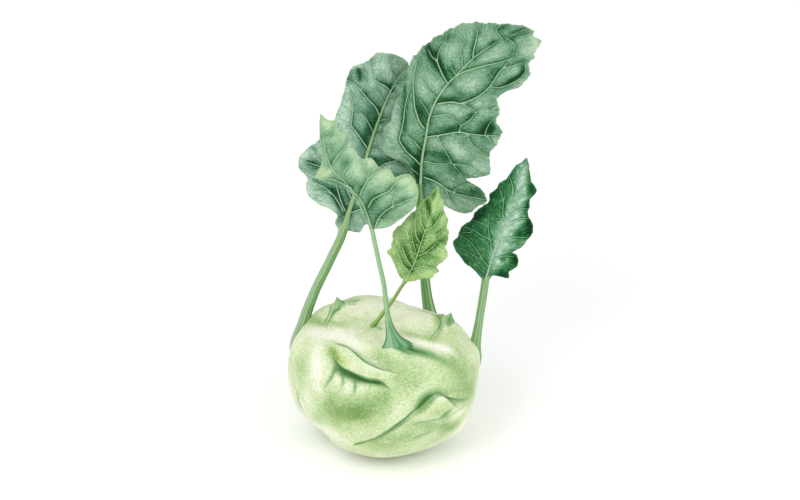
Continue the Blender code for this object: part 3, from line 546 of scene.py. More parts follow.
def bulb_skin(directions):
    """Points of the skin in the globe's own frame, in millimetres, and its masks."""
    sides = np.hypot(directions[:, 0], directions[:, 1])
    height = np.abs(directions[:, 2])
    above = directions[:, 2] > 0
    power = np.where(above, CROWN_POWER, ROOT_POWER)
    size = (sides**power + height**power) ** (-1 / power)
    tall = np.where(above, CROWN_HEIGHT, ROOT_DEPTH)
    scale = np.stack([np.full_like(tall, BULB_RADIUS)] * 2 + [tall], axis=1)
    points = directions * scale * size[:, None]
    normals = points / scale**2
    normals /= np.linalg.norm(normals, axis=1)[:, None]
    front = eased(normals @ OUT, 0.0, 0.3)
    across, up = points @ ACROSS, points @ UP
    rise = chance_field(points, 22, 5) * 0.18 + chance_field(points, 8, 6) * 0.05
    for x, y, wide, tall, height in SWELLINGS:
        rise += front * height * np.exp(-(((across - x) / wide) ** 2) - ((up - y) / tall) ** 2)
    crease = np.zeros(len(points))
    for folds, turn, tilt in FOLD_GROUPS:
        behind = eased(-(normals @ OUT), 0.15, 0.45) if turn else 1
        turn, tilt = math.radians(turn), math.radians(tilt)
        right = np.array([math.cos(turn), math.sin(turn), 0])
        out = np.array([math.sin(turn) * math.cos(tilt), -math.cos(turn) * math.cos(tilt), math.sin(tilt)])
        facing = eased(normals @ out, 0.05, 0.3) * behind
        for fold in folds.values():
            fold_rise, shade = fold_relief(fold, points @ right, points @ np.cross(out, right))
            rise += facing * fold_rise
            crease = np.maximum(crease, facing * shade * (1 if turn else FRONT_CREASE))
    stub = np.zeros(len(points))
    mounds = np.zeros(len(points))
    for x, y, z, radius, height, sharpness in BOSSES:
        distance = np.linalg.norm(points - [x, y, z], axis=1)
        rise += height * np.exp(-((distance / radius) ** sharpness) * 2)
        if sharpness == 1.0:
            stub = np.maximum(stub, eased(-distance, -6.5, -1.0))
        elif height > 0 and z > 0:
            mounds += (1 - front) * 0.2 * np.exp(-((distance / radius) ** 2))
    shown = eased(normals @ OUT, 0.0, 0.12)
    # Painted shade beside the folds, from the strokes; it also sinks the skin a little
    dark = shown * all_strokes(SHADE_STROKES, across, up)
    rise -= ENGRAVED * dark
    far_side = (1 - front) * 0.16 * chance_field(points, 25, 7)
    masks = {
        "green": BASE_GREEN + far_side + mounds + front * soft_spots(GREEN_AND_SHADE_SPOTS, across, up),
        "warm": shown * np.clip(soft_spots(WARM_SPOTS, across, up), 0, 1),
        "pale": shown * all_strokes(PALE_STROKES, across, up),
        "dark": 1 - (1 - dark) * (1 - np.clip(crease, 0, 1)),
        "stub": stub,
    }
    return points + normals * rise[:, None], masks


# %% [markdown]
# The start is an ico sphere, whose even triangles have no poles. Its faces near the folds are
# selected by place and subdivided, and those at the sharpest strokes once more, so that the
# steps in the skin are crisp where they are and the rest stays light. Then each point moves to
# the skin, with its masks kept on it, and `bisect` cuts the root off flat, as the knife did, and
# fills the cut.

# %% Shape the globe
def fresh_start(add, **settings):
    """Deselects everything, then adds a primitive, which is then the only thing selected."""
    bpy.ops.object.select_all(action="DESELECT")
    add(**settings)
    return bpy.context.object


bulb = fresh_start(bpy.ops.mesh.primitive_ico_sphere_add, subdivisions=7, radius=1)
bulb.name = bulb.data.name = "kohlrabi_bulb"


def point_directions(piece):
    where = np.empty(len(piece.data.vertices) * 3, np.float32)
    piece.data.vertices.foreach_get("co", where)
    where = where.reshape(-1, 3).astype(float)
    return where / np.linalg.norm(where, axis=1)[:, None]


for darkness_kept_fine in (0.12, 0.38):
    _, masks = bulb_skin(point_directions(bulb))
    fine = (masks["dark"] > darkness_kept_fine) | (masks["pale"] > 2 * darkness_kept_fine)
    faces = np.empty(len(bulb.data.polygons) * 3, np.int32)
    bulb.data.polygons.foreach_get("vertices", faces)
    bpy.ops.object.mode_set(mode="EDIT")
    bpy.ops.mesh.select_mode(type="FACE")
    bpy.ops.mesh.select_all(action="DESELECT")
    bpy.ops.object.mode_set(mode="OBJECT")
    bulb.data.polygons.foreach_set("select", fine[faces.reshape(-1, 3)].any(axis=1))
    bpy.ops.object.mode_set(mode="EDIT")
    bpy.ops.mesh.subdivide(number_cuts=1)
    bpy.ops.mesh.select_all(action="SELECT")
    bpy.ops.mesh.quads_convert_to_tris()
    bpy.ops.object.mode_set(mode="OBJECT")
    print("globe:", len(bulb.data.polygons), "triangles")

skin, masks = bulb_skin(point_directions(bulb))
for mask, values in masks.items():
    add_mask(bulb, mask, values)
bulb.data.vertices.foreach_set("co", ((skin + [0, 0, REST_HEIGHT]) * MM).astype(np.float32).ravel())
bpy.ops.object.mode_set(mode="EDIT")
bpy.ops.mesh.select_all(action="SELECT")
bpy.ops.mesh.bisect(plane_co=(0, 0, 0), plane_no=(0, 0, 1), use_fill=True, clear_inner=True)
bpy.ops.object.mode_set(mode="OBJECT")
heights = np.empty(len(bulb.data.vertices) * 3, np.float32)
bulb.data.vertices.foreach_get("co", heights)
add_mask(bulb, "cut", 1 - eased(heights[2::3] / MM, 0.1, 1.2))
print("globe:", len(bulb.data.vertices), "points, deepest stroke", round(float(masks["dark"].max()), 2))

# %% [markdown]
# ## The finish of the globe
# The skin is waxy: a soft gloss over flesh that lets some light in. Its colour runs from cream
# through pale green to the deep green of the painted shade in the creases, with painted highlights
# on the rims of the folds. Noise of three sizes breaks it up, as the pores and the bloom do on the
# real skin, and a noise drawn out sideways adds faint streaks, as of a brush. The cut root is corky.

# %% Skin of the globe
skin_finish = Finish(
    "kohlrabi_skin", Roughness=0.42, Specular_IOR_Level=0.3, Coat_Weight=0.05, Coat_Roughness=0.35
)
skin_finish.shader.inputs["Subsurface Weight"].default_value = 0.08
skin_finish.shader.inputs["Subsurface Radius"].default_value = (1.0, 1.0, 0.5)
skin_finish.shader.inputs["Subsurface Scale"].default_value = 0.002
patchy = skin_finish.noise(7, 4)
grain = skin_finish.noise(1.0, 3)
pores = skin_finish.noise(0.4, 1)
values = {"Vector": skin_finish.place, "Rotation": (0, 0.7, 0), "Scale": (380, 700, 1500)}
drawn_out = skin_finish.node("ShaderNodeMapping", {}, values)
streaks = skin_finish.node("ShaderNodeTexNoise", {}, {"Vector": drawn_out, "Scale": 1.0, "Detail": 2.0})
dark, warm = skin_finish.mask("dark"), skin_finish.mask("warm")
# The green mask holds the skin's own green together with its painted shade and painted highlights
greenness = skin_finish.mask("green") + (patchy - 0.5) * 0.5 + (grain - 0.5) * 0.75 + (pores - 0.5) * 0.6
greenness = greenness + (streaks - 0.5) * 0.5
greens = ["FAFAEA", "E3ECC8", "C6DAA4", "A4C284", "84A866", "688E4C"]
colour = skin_finish.ramp(greenness * 0.75, greens, SKIN_SHARE)
yellows = skin_finish.ramp(greenness * 0.9 + 0.1 * warm, ["F2F5CC", "DCE9A2", "B4CC70", "86A648"], SKIN_SHARE)
colour = skin_finish.mix(colour, yellows, (warm * 0.85).clamped())
# Painted highlights on the rims of the folds
colour = skin_finish.mix(colour, paint("F6FAE8", SKIN_SHARE), skin_finish.mask("pale") * 0.8)
colour = skin_finish.mix(colour, paint("8AB354"), skin_finish.mask("stub") * 0.6)
# Painted shade in the creases: a mid green, then a deep green that is yellower on the lids of the scars
crease_shade = dark + (grain - 0.5) * 0.25 * dark.eased(0.05, 0.4)
colour = skin_finish.mix(colour, paint("83B274"), crease_shade.eased(0.03, 0.5) * 0.92)
deepest = skin_finish.mix(paint("33723F"), paint("417C22"), (warm * 1.6).clamped())
colour = skin_finish.mix(colour, deepest, crease_shade.eased(0.42, 1.0))
colour = skin_finish.mix(colour, paint("CDB78C"), skin_finish.mask("cut") * (0.6 + 0.6 * grain))
relief = skin_finish.bump(grain * 0.6 + pores * 0.4, 0.12, 0.35)
finish_piece(
    bulb, "bulb",
    skin_finish.wire(Base_Color=colour, Roughness=0.36 + 0.2 * patchy, Normal=relief),
)

# %% [markdown]
# ## The leaves
# Each leaf is one grown piece: a stalk that widens at its foot, goes on as the midrib, and
# carries the blade. `spine` is the line of stalk and midrib, as (across, up, out). `left` and
# `right` are the margins, as (share, across, up): a row of the blade leaves the midrib at that
# share of its length and ends at that point. `rise`, `curl` and `ruffle` bring the halves forward
# or back and wave their margins.

# %% Outlines of the leaves
LEAVES = {
    "large_leaf": {
        "spine": [
            (24, 17, -25), (23, 27, -30), (21.5, 36, -29), (20.2, 48, -26), (19, 62, -21), (18.4, 74, -17),
            (18.4, 83.5, -14.5), (18.4, 92, -12), (19, 105, -8.5), (20.7, 115, -6), (22.6, 126, -3.5),
            (26.2, 134.5, -1.5), (31.8, 142.4, 0), (37, 147.6, 1), (44.9, 155.5, 2), (52.7, 161, 2),
            (59.9, 165.3, 1), (68.4, 167.5, -1.5), (74.3, 169.2, -4),
        ],
        "blade_from": 6,
        "left": [
            (0, 16.4, 83.5), (0.05, 16.2, 88.5), (0.09, 15.8, 94), (0.11, 13, 100.5), (0.13, 8, 104.3),
            (0.15, 2, 107), (0.175, -2.5, 111.4), (0.205, -1, 116.8), (0.235, 0.4, 120.5),
                (0.265, 3.6, 125),
            (0.3, 5, 131.5), (0.34, 9, 139), (0.39, 11.5, 148), (0.44, 13.6, 154.3), (0.49, 18.5, 160.3),
            (0.54, 24.6, 165.2), (0.6, 31, 169), (0.66, 38.1, 172.4), (0.72, 44.5, 173.3),
                (0.79, 55, 172.8),
            (0.87, 65, 172.3), (0.94, 71, 171.3), (1, 73.6, 169.9),
        ],
        "right": [
            (0, 20.4, 83.2), (0.02, 21.8, 84.9), (0.035, 24.2, 85), (0.05, 29, 83), (0.075, 35.5, 79.2),
            (0.1, 42, 78), (0.12, 47.5, 81.5), (0.14, 51.7, 84.9), (0.155, 48, 90.5), (0.17, 41.5, 94.6),
            (0.185, 46, 95.8), (0.205, 52, 97), (0.225, 53.4, 101.5), (0.245, 52.6, 106.5),
            (0.267, 56, 112), (0.29, 58.8, 117), (0.32, 57.8, 121.5), (0.345, 56, 124.7),
            (0.375, 58.3, 129), (0.405, 56.4, 133.8), (0.44, 60, 138.3), (0.49, 68, 141.3),
                (0.54, 73, 147.5),
            (0.6, 72.4, 153.2), (0.67, 75.7, 156), (0.71, 75, 158), (0.78, 78.6, 162.6), (0.85, 77.6, 165),
            (0.91, 75, 166.2), (0.96, 74.9, 167.8), (1, 75.4, 169.2),
        ],
        "rise": (0.45, 0.12),
        "curl": (-0.75, -0.2),
        "ruffle": (2.2, 5.5),
        "stalk_half_width": (3.4, 2.2, 1.5),
        "flare_reach": 6.0,
    },
    "left_leaf": {
        "spine": [
            (-40.5, 2, -9), (-42.8, 12, -12), (-40.5, 22.6, -12), (-34.9, 38.3, -12), (-27.3, 54, -12.5),
            (-20.3, 69.5, -13.5), (-18.1, 77.3, -14), (-15, 86.7, -15), (-11.5, 97.5, -16.5),
            (-8.8, 106.5, -18), (-5.6, 116.7, -19.5), (-2.4, 125.6, -20.5), (0.9, 134, -21.5),
            (6, 144, -23.5), (12.3, 152.4, -26.5),
        ],
        "blade_from": 5,
        "left": [
            (0, -23, 69.6), (0.03, -24.6, 73.5), (0.06, -23.4, 77), (0.09, -27, 79.9), (0.125, -33, 82.6),
            (0.155, -37.6, 86.5), (0.185, -39.2, 91.2), (0.21, -38.4, 95.5), (0.235, -42.4, 100.2),
            (0.265, -42.7, 105), (0.3, -39.5, 109.5), (0.345, -34.5, 113.2), (0.39, -30, 118),
            (0.435, -26, 123.5), (0.48, -23, 130), (0.53, -20.4, 138), (0.58, -18.2, 147),
            (0.64, -14.8, 151.9), (0.7, -9.2, 153.8), (0.77, -3.8, 158.2), (0.84, 2.5, 158.2),
            (0.92, 8.6, 156.4), (1, 12.1, 153.6),
        ],
        "right": [
            (0, -18.2, 69.4), (0.03, -12.4, 68.4), (0.06, -9.5, 72), (0.1, -3, 72.5), (0.15, 6, 74),
            (0.2, 13.5, 79), (0.26, 18.5, 87), (0.32, 20, 96), (0.38, 17.5, 103), (0.44, 18.5, 110),
            (0.51, 15.5, 117), (0.58, 17, 124.5), (0.66, 14, 131), (0.75, 16, 138), (0.84, 14, 144),
            (0.93, 14.5, 149), (1, 12.9, 151.8),
        ],
        "rise": (0.15, -0.1),
        "curl": (-0.1, -0.1),
        "ruffle": (1.8, 5.0),
        "stalk_half_width": (4.6, 2.1, 1.6),
        "flare_reach": 10.0,
    },
    "front_leaf": {
        "spine": [
            (7.6, 4.5, 27.8), (5.6, 11.6, 34), (2.6, 22.6, 36), (1.2, 32, 38), (0, 42.2, 41),
                (-2.6, 54, 44.5),
            (-4.6, 63.3, 47), (-6.1, 70.3, 49), (-8.7, 78.1, 51), (-11.5, 84.4, 52), (-15.8, 89, 53),
            (-20.5, 94.5, 54), (-25.1, 99.2, 55), (-27.9, 104.7, 55.5), (-29.4, 110.9, 55.5),
            (-30.1, 118, 54.5), (-31.1, 126.7, 52),
        ],
        "blade_from": 7,
        "left": [
            (0, -7.4, 70.8), (0.08, -9.3, 75.8), (0.16, -12, 81), (0.22, -14.5, 85.6), (0.27, -18.5, 89.8),
            (0.32, -24.5, 92.8), (0.37, -30.5, 94.3), (0.42, -34.3, 95.5), (0.48, -32.6, 98.6),
            (0.54, -31.2, 101.6), (0.6, -30.8, 105), (0.68, -31.1, 110), (0.76, -31.7, 115),
            (0.85, -31.9, 120.5), (0.93, -31.7, 124.3), (1, -31.4, 126.8),
        ],
        "right": [
            (0, -4.6, 69.9), (0.025, 2, 70.8), (0.06, 8.5, 75), (0.1, 14.2, 79.5), (0.15, 17, 86),
            (0.2, 16, 92.5), (0.245, 12.4, 97.2), (0.28, 8.4, 96.6), (0.31, 5.8, 95.4), (0.345, 3, 99.4),
            (0.39, -2.2, 100.2), (0.43, -6.2, 105.2), (0.47, -10.6, 104.6), (0.52, -14.5, 109),
            (0.57, -17.5, 111.2), (0.62, -16.6, 116.8), (0.67, -19.6, 118.2), (0.72, -22.2, 117.6),
            (0.78, -24, 122.6), (0.86, -27.6, 123.9), (0.94, -29.8, 125.7), (1, -30.8, 126.7),
        ],
        "rise": (-1.3, -0.25),
        "curl": (0.3, -0.1),
        "ruffle": (1.3, 4.0),
        "stalk_half_width": (8.2, 0.92, 0.85),
        "flare_reach": 5.0,
    },
    "young_leaf": {
        "spine": [
            (-10, 15, 14.5), (-6.4, 20.8, 18), (-2.5, 25.2, 19.6), (0.6, 29.5, 21), (3.4, 33, 22),
            (8, 40.1, 25), (10.7, 44.3, 27), (12.5, 47.9, 28.5), (14.2, 50.9, 29.8), (16.3, 56.3, 32),
            (18.4, 62.6, 34), (20.2, 68.2, 35.5), (22.6, 74, 36.5), (24.6, 83, 37), (26.5, 91.2, 36),
        ],
        "blade_from": 6,
        "left": [
            (0, 9.7, 45), (0.03, 8, 46.2), (0.06, 6.4, 49.4), (0.1, 5, 53), (0.14, 3.4, 56.2),
            (0.17, 1.6, 58.3), (0.205, 3.6, 60.6), (0.24, 3.6, 62.8), (0.28, 4.6, 65), (0.32, 4.3, 67.5),
            (0.37, 6, 70.6), (0.42, 8.6, 71.9), (0.48, 10.4, 74.7), (0.55, 13.4, 77.4), (0.63, 16.4, 80.2),
            (0.72, 19.3, 83.4), (0.82, 22.4, 86.6), (0.91, 24.4, 88.6), (1, 26, 91),
        ],
        "right": [
            (0, 11.8, 43.8), (0.03, 15.3, 44.2), (0.06, 19.5, 45.4), (0.09, 24, 45.7), (0.115, 25.2, 47.4),
            (0.14, 27.3, 48.9), (0.165, 26.2, 51), (0.2, 29.2, 53.6), (0.24, 31.6, 56.8), (0.275, 31.6, 59),
            (0.31, 30.5, 60.8), (0.36, 31.9, 64.4), (0.42, 32.2, 68.4), (0.48, 31.3, 71), (0.53, 32, 74),
            (0.6, 30.6, 77), (0.67, 29.9, 79.8), (0.75, 29.6, 82.6), (0.84, 28.2, 85.8), (0.92, 27.4, 89.2),
            (1, 27, 91.2),
        ],
        "rise": (0.1, 0.3),
        "curl": (-0.3, -0.35),
        "ruffle": (0.9, 5.0),
        "stalk_half_width": (1.2, 0.6, 0.6),
        "flare_reach": 5.0,
    },
    "right_leaf": {
        "spine": [
            (42.2, -5, -4.5), (44.6, 7, -4), (46.2, 16, -3), (47.6, 24.5, -1.5), (48.8, 32, 0),
                (50, 39.5, 2),
            (50.7, 44.3, 3.5), (52.3, 50, 5), (54, 56, 6.5), (56.2, 61.8, 8), (58.9, 70.2, 10),
            (60.9, 76, 11), (63.6, 82.7, 12), (65.8, 90.3, 12.5), (68.3, 97.5, 12), (71, 105.5, 10.5),
        ],
        "blade_from": 6,
        "left": [
            (0, 49.2, 44.6), (0.03, 46.6, 47.8), (0.06, 43.4, 51), (0.09, 40.6, 52.8), (0.12, 38.2, 56),
            (0.15, 35.6, 59.6), (0.18, 34.4, 63.4), (0.21, 36.6, 65.8), (0.245, 37.6, 69), (0.28, 40, 72.2),
            (0.32, 44, 75), (0.36, 45.4, 78.6), (0.41, 49.4, 81.4), (0.455, 52.4, 84), (0.5, 52.7, 87.2),
            (0.55, 56, 90.2), (0.6, 57.6, 92.8), (0.66, 60.8, 95), (0.73, 63.2, 98), (0.81, 65.6, 101.6),
            (0.91, 68.6, 103.2), (1, 70.6, 105.4),
        ],
        "right": [
            (0, 52.4, 44.2), (0.03, 53.4, 45.9), (0.055, 54.8, 46.9), (0.075, 58.2, 46.2),
            (0.095, 62, 45.5), (0.12, 62.6, 48.6),
            (0.145, 66, 51), (0.175, 67.2, 54.4), (0.2, 66.2, 57), (0.225, 64.2, 58.4), (0.25, 68.4, 60.8),
            (0.285, 71, 63.9), (0.32, 73.6, 67), (0.365, 74.5, 72), (0.41, 72.4, 75.4), (0.46, 71.9, 78.5),
            (0.51, 72.6, 81), (0.56, 72.8, 84.6), (0.61, 75.8, 88.2), (0.66, 75.6, 91), (0.72, 73.4, 94),
            (0.79, 73, 97.5), (0.87, 72.4, 101), (0.95, 71.8, 104), (1, 71.4, 105.4),
        ],
        "rise": (0.5, 0.4),
        "curl": (-0.25, -0.15),
        "ruffle": (1.4, 4.5),
        "stalk_half_width": (4.2, 1.75, 1.2),
        "flare_reach": 6.0,
    },
}

# %% [markdown]
# The veins are drawn on the same sheet, each as (weight, points): 2 for a side vein, 1 for a
# branch. A kohlrabi's side veins leave the midrib in a curve, fork, and meet again near the edge.

# %% Veins of the leaves
VEINS = {
    "large_leaf": [
        (2, [(20, 95.9), (26.8, 93.2), (34.6, 88.2), (43, 86.1), (51.4, 84.6)]),
        (1, [(30.5, 90.6), (34.2, 83.2), (40.5, 79.2)]),
        (1, [(34.6, 88.2), (36.8, 90.8), (41.8, 92.9)]),
        (1, [(19.9, 103.9), (27.4, 102.6), (34.2, 102.6)]),
        (2, [(21.1, 115.9), (30.5, 117.3), (37.4, 118.4), (43, 117.5), (50.8, 116.7), (57.4, 116.7)]),
        (1, [(26.8, 116.1), (28.9, 112), (31.8, 107), (34.2, 102.6), (39.9, 96.1)]),
        (1, [(34.2, 102.6), (39.2, 102), (44.2, 100.4), (49.2, 97.6)]),
        (1, [(41.4, 117.3), (43.6, 113.2), (47.4, 109.2), (52.4, 106.4)]),
        (1, [(50.8, 116.7), (51.1, 118.9), (54.6, 125.1)]),
        (1, [(50.8, 116.7), (53, 114.5), (54.6, 111.4)]),
        (1, [(37.4, 118.4), (38.9, 121.7), (43, 124.5), (47.4, 129.2), (51.8, 129.8), (55.5, 128.9)]),
        (1, [(23.9, 126.1), (28, 127), (32.4, 127.3), (35.5, 124.5), (38.9, 121.7)]),
        (2, [(27.1, 132.6), (34.2, 133.4), (38.9, 132.9), (46.8, 136.1), (53, 141.2), (58.6, 149.5),
            (64, 151.6), (69.8, 153.4)]),
        (1, [(53, 141.2), (58, 140.4), (63.6, 142.3), (68.2, 145.2), (70.9, 148.6), (70.6, 152)]),
        (1, [(38.9, 132.9), (42.4, 130.8), (45.8, 128.2)]),
        (1, [(58.6, 149.5), (61.1, 152.3), (64.2, 155.4)]),
        (2, [(36.1, 146.4), (39.9, 148.6), (44.9, 150.1), (50.5, 151.7), (58, 153.2), (64.2, 155.4)]),
        (1, [(62.1, 165.1), (65.5, 162), (64.9, 158.9)]),
        (1, [(17.1, 97.3), (14.2, 99.8), (11.1, 103.9), (8.9, 105.8)]),
        (2, [(17.7, 102.6), (14.9, 105.4), (11.1, 108.9), (8.6, 112.6), (7.7, 115.4), (8.9, 120.1),
            (9.9, 127), (10.8, 133.9), (13, 140.8)]),
        (1, [(18.3, 110.1), (15.5, 113.2), (12.4, 115.8), (9.6, 118.6)]),
        (2, [(20.2, 120.4), (18, 123.2), (16.1, 127.6), (15.2, 132), (14.6, 139.5), (14.9, 147),
            (16.4, 153.9)]),
        (1, [(22.7, 127), (20.5, 130.8), (18, 133.9)]),
        (1, [(26.1, 135.4), (23.6, 138.2), (21.1, 141.4), (19.6, 143.9)]),
        (2, [(31.8, 142.9), (29.2, 147), (27.4, 150.8), (26.1, 153.9), (23.6, 156.4), (21.8, 160.1)]),
        (1, [(26.1, 153.9), (27.1, 158.2), (29.9, 162.3), (34.2, 162.8)]),
        (1, [(29.9, 162.3), (30.8, 165.8), (31.2, 168.2)]),
        (1, [(36.1, 147), (34.2, 149.5), (33.6, 151.7)]),
        (1, [(39.2, 150.8), (38.9, 155.1), (38.3, 159.5), (41.1, 164.2)]),
        (2, [(44.6, 155.8), (44.9, 159.5), (46.1, 164.5), (46.8, 170.1)]),
        (1, [(59.2, 165.1), (56.1, 169.5), (58.6, 172)]),
    ],
    "left_leaf": [
        (2, [(-8.5, 110.8), (-11, 114.5), (-14.1, 118.9), (-16.3, 122), (-16, 127), (-15.6, 132),
            (-16.6, 137)]),
        (1, [(-5.7, 119.5), (-8.5, 124.5), (-10.4, 127.3), (-12.9, 129.2)]),
        (2, [(-2.2, 127), (-4.4, 131.4), (-7.9, 135.1), (-11.6, 139.5), (-15.4, 143.2), (-17.9, 144.5)]),
        (1, [(-11.6, 139.5), (-9.1, 143.9), (-9.1, 147.6), (-11, 150.1)]),
        (1, [(0.2, 133.2), (-1.6, 137), (-2.9, 138.9)]),
        (2, [(3.1, 139.5), (0.2, 142), (-3.5, 143.9), (-5.7, 146.4), (-6.3, 150.8), (-6.9, 153.9)]),
        (1, [(5.9, 144.2), (4.9, 147), (3.4, 150.1), (3.1, 154.5)]),
        (2, [(-19.4, 78.9), (-21, 82.6), (-22.6, 87.6), (-24.4, 93.2), (-27.2, 99.5)]),
        (2, [(-20.7, 78.9), (-22.9, 83.2), (-26, 87.6), (-29.8, 90.8), (-34.8, 93.6)]),
        (1, [(-26, 87.6), (-31, 89.2), (-35.4, 89.5)]),
        (2, [(-16.6, 85.8), (-22.2, 95.8), (-27.2, 99.5), (-30.4, 101.1), (-34.1, 102), (-39.8, 103.9)]),
        (1, [(-29.1, 100.8), (-31.9, 103.9), (-34.1, 107), (-35.7, 110.4)]),
        (1, [(-30.4, 101.1), (-34.8, 99.5), (-38.5, 98.9)]),
        (2, [(-16.6, 78.2), (-12.9, 79.5), (-8.5, 80.8), (-3.5, 78.9)]),
        (1, [(-2.2, 124.2), (0.2, 125.1), (4, 125.1)]),
        (1, [(-4.1, 117), (-1.6, 118.2), (2.1, 118.9)]),
        (1, [(0.9, 133.9), (4, 135.1), (7.8, 135.1)]),
        (1, [(6.5, 143.9), (9.6, 144.2), (12.1, 143.9)]),
        (2, [(-9.1, 105.8), (-2.9, 101.1), (0.2, 102.6), (4, 103.9), (7.8, 104.5), (12.1, 106.4)]),
        (1, [(4.6, 103.9), (8.4, 102), (12.1, 98.2)]),
        (1, [(-7.2, 109.5), (-2.9, 110.8), (0.2, 112)]),
        (2, [(-12.2, 95.8), (-6, 95.8), (1.5, 94.5), (10.2, 91.4)]),
        (1, [(-20.4, 76.1), (-22.2, 73.2), (-22.9, 71.4)]),
    ],
    "front_leaf": [
        (2, [(-4.8, 69.5), (-2.9, 74.5), (0.2, 78.2), (4, 80.8), (8.4, 82.6), (13.7, 85.1)]),
        (1, [(4, 80.8), (7.1, 78.2), (11.5, 77.6)]),
        (1, [(4, 80.8), (5.2, 85.8), (7.8, 89.5), (12.1, 92), (14, 94.5)]),
        (2, [(-7.6, 80.8), (-5.4, 84.5), (-1, 87), (2.8, 88.9), (5.2, 92), (8.4, 94.5), (12.1, 95.8)]),
        (2, [(-11.9, 86.4), (-10.4, 90.1), (-7.9, 94.5), (-4.8, 97.6), (-2.6, 98.9)]),
        (1, [(-7.9, 94.5), (-9.8, 98.2), (-11.6, 103.2)]),
        (1, [(-20.4, 95.8), (-19.1, 99.5), (-16.9, 104.2)]),
        (2, [(-25.4, 102.6), (-22.2, 107), (-19.1, 110.8), (-17.6, 115.1)]),
        (1, [(-29.1, 110.8), (-25.4, 110.8), (-22.2, 113.2), (-21, 116.4)]),
        (1, [(-30.1, 115.1), (-27.2, 115.8), (-25.1, 118.9), (-24.8, 122)]),
        (2, [(-16.3, 90.1), (-21, 92.6), (-25.4, 94.5), (-29.1, 95.1), (-33.8, 96.6)]),
        (1, [(-26.6, 100.1), (-28.8, 98.9), (-31.6, 97)]),
        (1, [(-2.2, 74.5), (2.8, 74.5), (7.8, 75.8)]),
    ],
    "young_leaf": [
        (2, [(12.8, 48.7), (10.2, 51), (8.6, 53.9), (7.1, 58.1), (5.7, 61), (4.8, 63.5)]),
        (1, [(8.6, 53.9), (6.1, 55.2), (4, 56.8)]),
        (2, [(14, 51.2), (11.9, 53.9), (10, 58.1), (8.8, 62.7), (8, 68.5)]),
        (2, [(16.3, 56.6), (14.6, 62.7), (13.6, 68.5), (13.6, 72.7), (14.4, 76.8)]),
        (1, [(16.3, 56.6), (13.6, 58.9), (11.1, 61)]),
        (1, [(14.4, 63.1), (12.3, 63.7), (10.2, 64.3)]),
        (2, [(18.4, 62.7), (16.5, 65.2), (15.7, 68.5), (15.7, 73.5), (15.7, 76.8)]),
        (2, [(20.3, 68.9), (19, 71.8), (18.2, 75.6), (18.2, 79.8)]),
        (1, [(21.7, 73.5), (20.7, 77.7), (20.7, 82.7)]),
        (2, [(14.4, 50), (16.9, 50.6), (19.4, 51.4), (22.3, 50.6), (25.7, 49.8), (27.3, 48.9)]),
        (1, [(19.4, 51.4), (20.2, 53.5), (20.9, 55.2)]),
        (2, [(16.9, 56.4), (20.7, 58.1), (24, 60.6), (26.9, 63.1), (30, 62.2)]),
        (1, [(20.7, 58.1), (23.2, 56), (26.1, 54.8), (28.6, 53.9)]),
        (1, [(24, 60.6), (25.7, 58.5), (26.1, 56.8)]),
        (2, [(19.4, 64.3), (22.3, 64.8), (25.7, 66.4), (28.2, 68.5), (31.5, 71.8)]),
        (2, [(20.7, 69.1), (24, 70.6), (26.5, 73.5), (28.2, 77.2), (29.8, 79.8)]),
        (1, [(24, 79.8), (26.1, 82.7), (28.2, 84.5)]),
        (1, [(24.9, 85.2), (23.6, 86.4), (22.3, 86)]),
    ],
    "right_leaf": [
        (1, [(51.5, 46.5), (48.5, 49.5), (46, 52.5), (43.5, 55.8)]),
        (2, [(52.2, 51), (49.5, 54.5), (47, 58.5), (44.5, 62), (42, 64.5), (37.5, 67)]),
        (1, [(49.2, 55), (47, 55.5), (43, 58), (40, 59.8), (37.2, 60.2)]),
        (2, [(54, 58), (53.5, 61.5), (52.8, 64.5), (48.5, 67), (44.5, 69.5), (40, 71.2)]),
        (2, [(53.5, 62), (52.5, 67), (52, 71), (52, 76)]),
        (1, [(52, 71), (48.5, 73), (44, 74.5)]),
        (1, [(53.5, 72.5), (56, 75), (59.2, 75.2)]),
        (2, [(60, 74.5), (59.2, 78.5), (59.5, 83.5), (58.5, 87.5), (57.5, 91)]),
        (1, [(59.4, 83.5), (60.5, 87), (59.8, 89)]),
        (2, [(64.2, 87), (64, 91.5), (62.5, 96.5)]),
        (1, [(44, 68.5), (41.5, 68.2), (38.5, 68.5)]),
        (2, [(54, 53), (57, 55.5), (60.5, 56.5), (64.5, 56.2)]),
        (1, [(59, 54.5), (62, 53), (65, 51.8)]),
        (2, [(58, 64), (62, 65.5), (67, 66), (72, 65.5)]),
        (1, [(59, 64.5), (62, 63.5), (65.5, 62.5)]),
        (2, [(58.5, 68.5), (61, 71.5), (64.5, 73.5), (68, 75), (72, 75.5)]),
        (2, [(61, 74), (63, 76.5), (65.5, 78.5), (68.5, 80), (72, 80)]),
        (1, [(64.5, 80.5), (67, 81.5), (70.5, 84)]),
        (2, [(66, 83.5), (68, 86), (72, 87.5)]),
        (1, [(67, 88.5), (69, 91), (72, 93)]),
    ],
}
print({name: len(lines) for name, lines in VEINS.items()}, "veins")

# %% [markdown]
# ## Light and dark of the blades
# A kohlrabi blade isn't flat between its veins. It bulges into cushions that carry a bluish
# bloom, and sinks into hollows beside the ribs. Each soft spot here is
# (across, up, half length, half width, turn, strength): turned by that many degrees from level,
# a cushion where the strength is above 0 and a hollow where it is below. The same list raises the
# blade and picks its colour, a pale painted highlight on each cushion and a dark green painted
# shade in each hollow, so the form and the paint agree. LEAF_STROKES are strokes of painted shade
# in the form of the globe's, along the ribs where the blade folds down steeply. TINTS are soft
# spots again, and turn the blade paler and yellower where it is thin or catches the light.

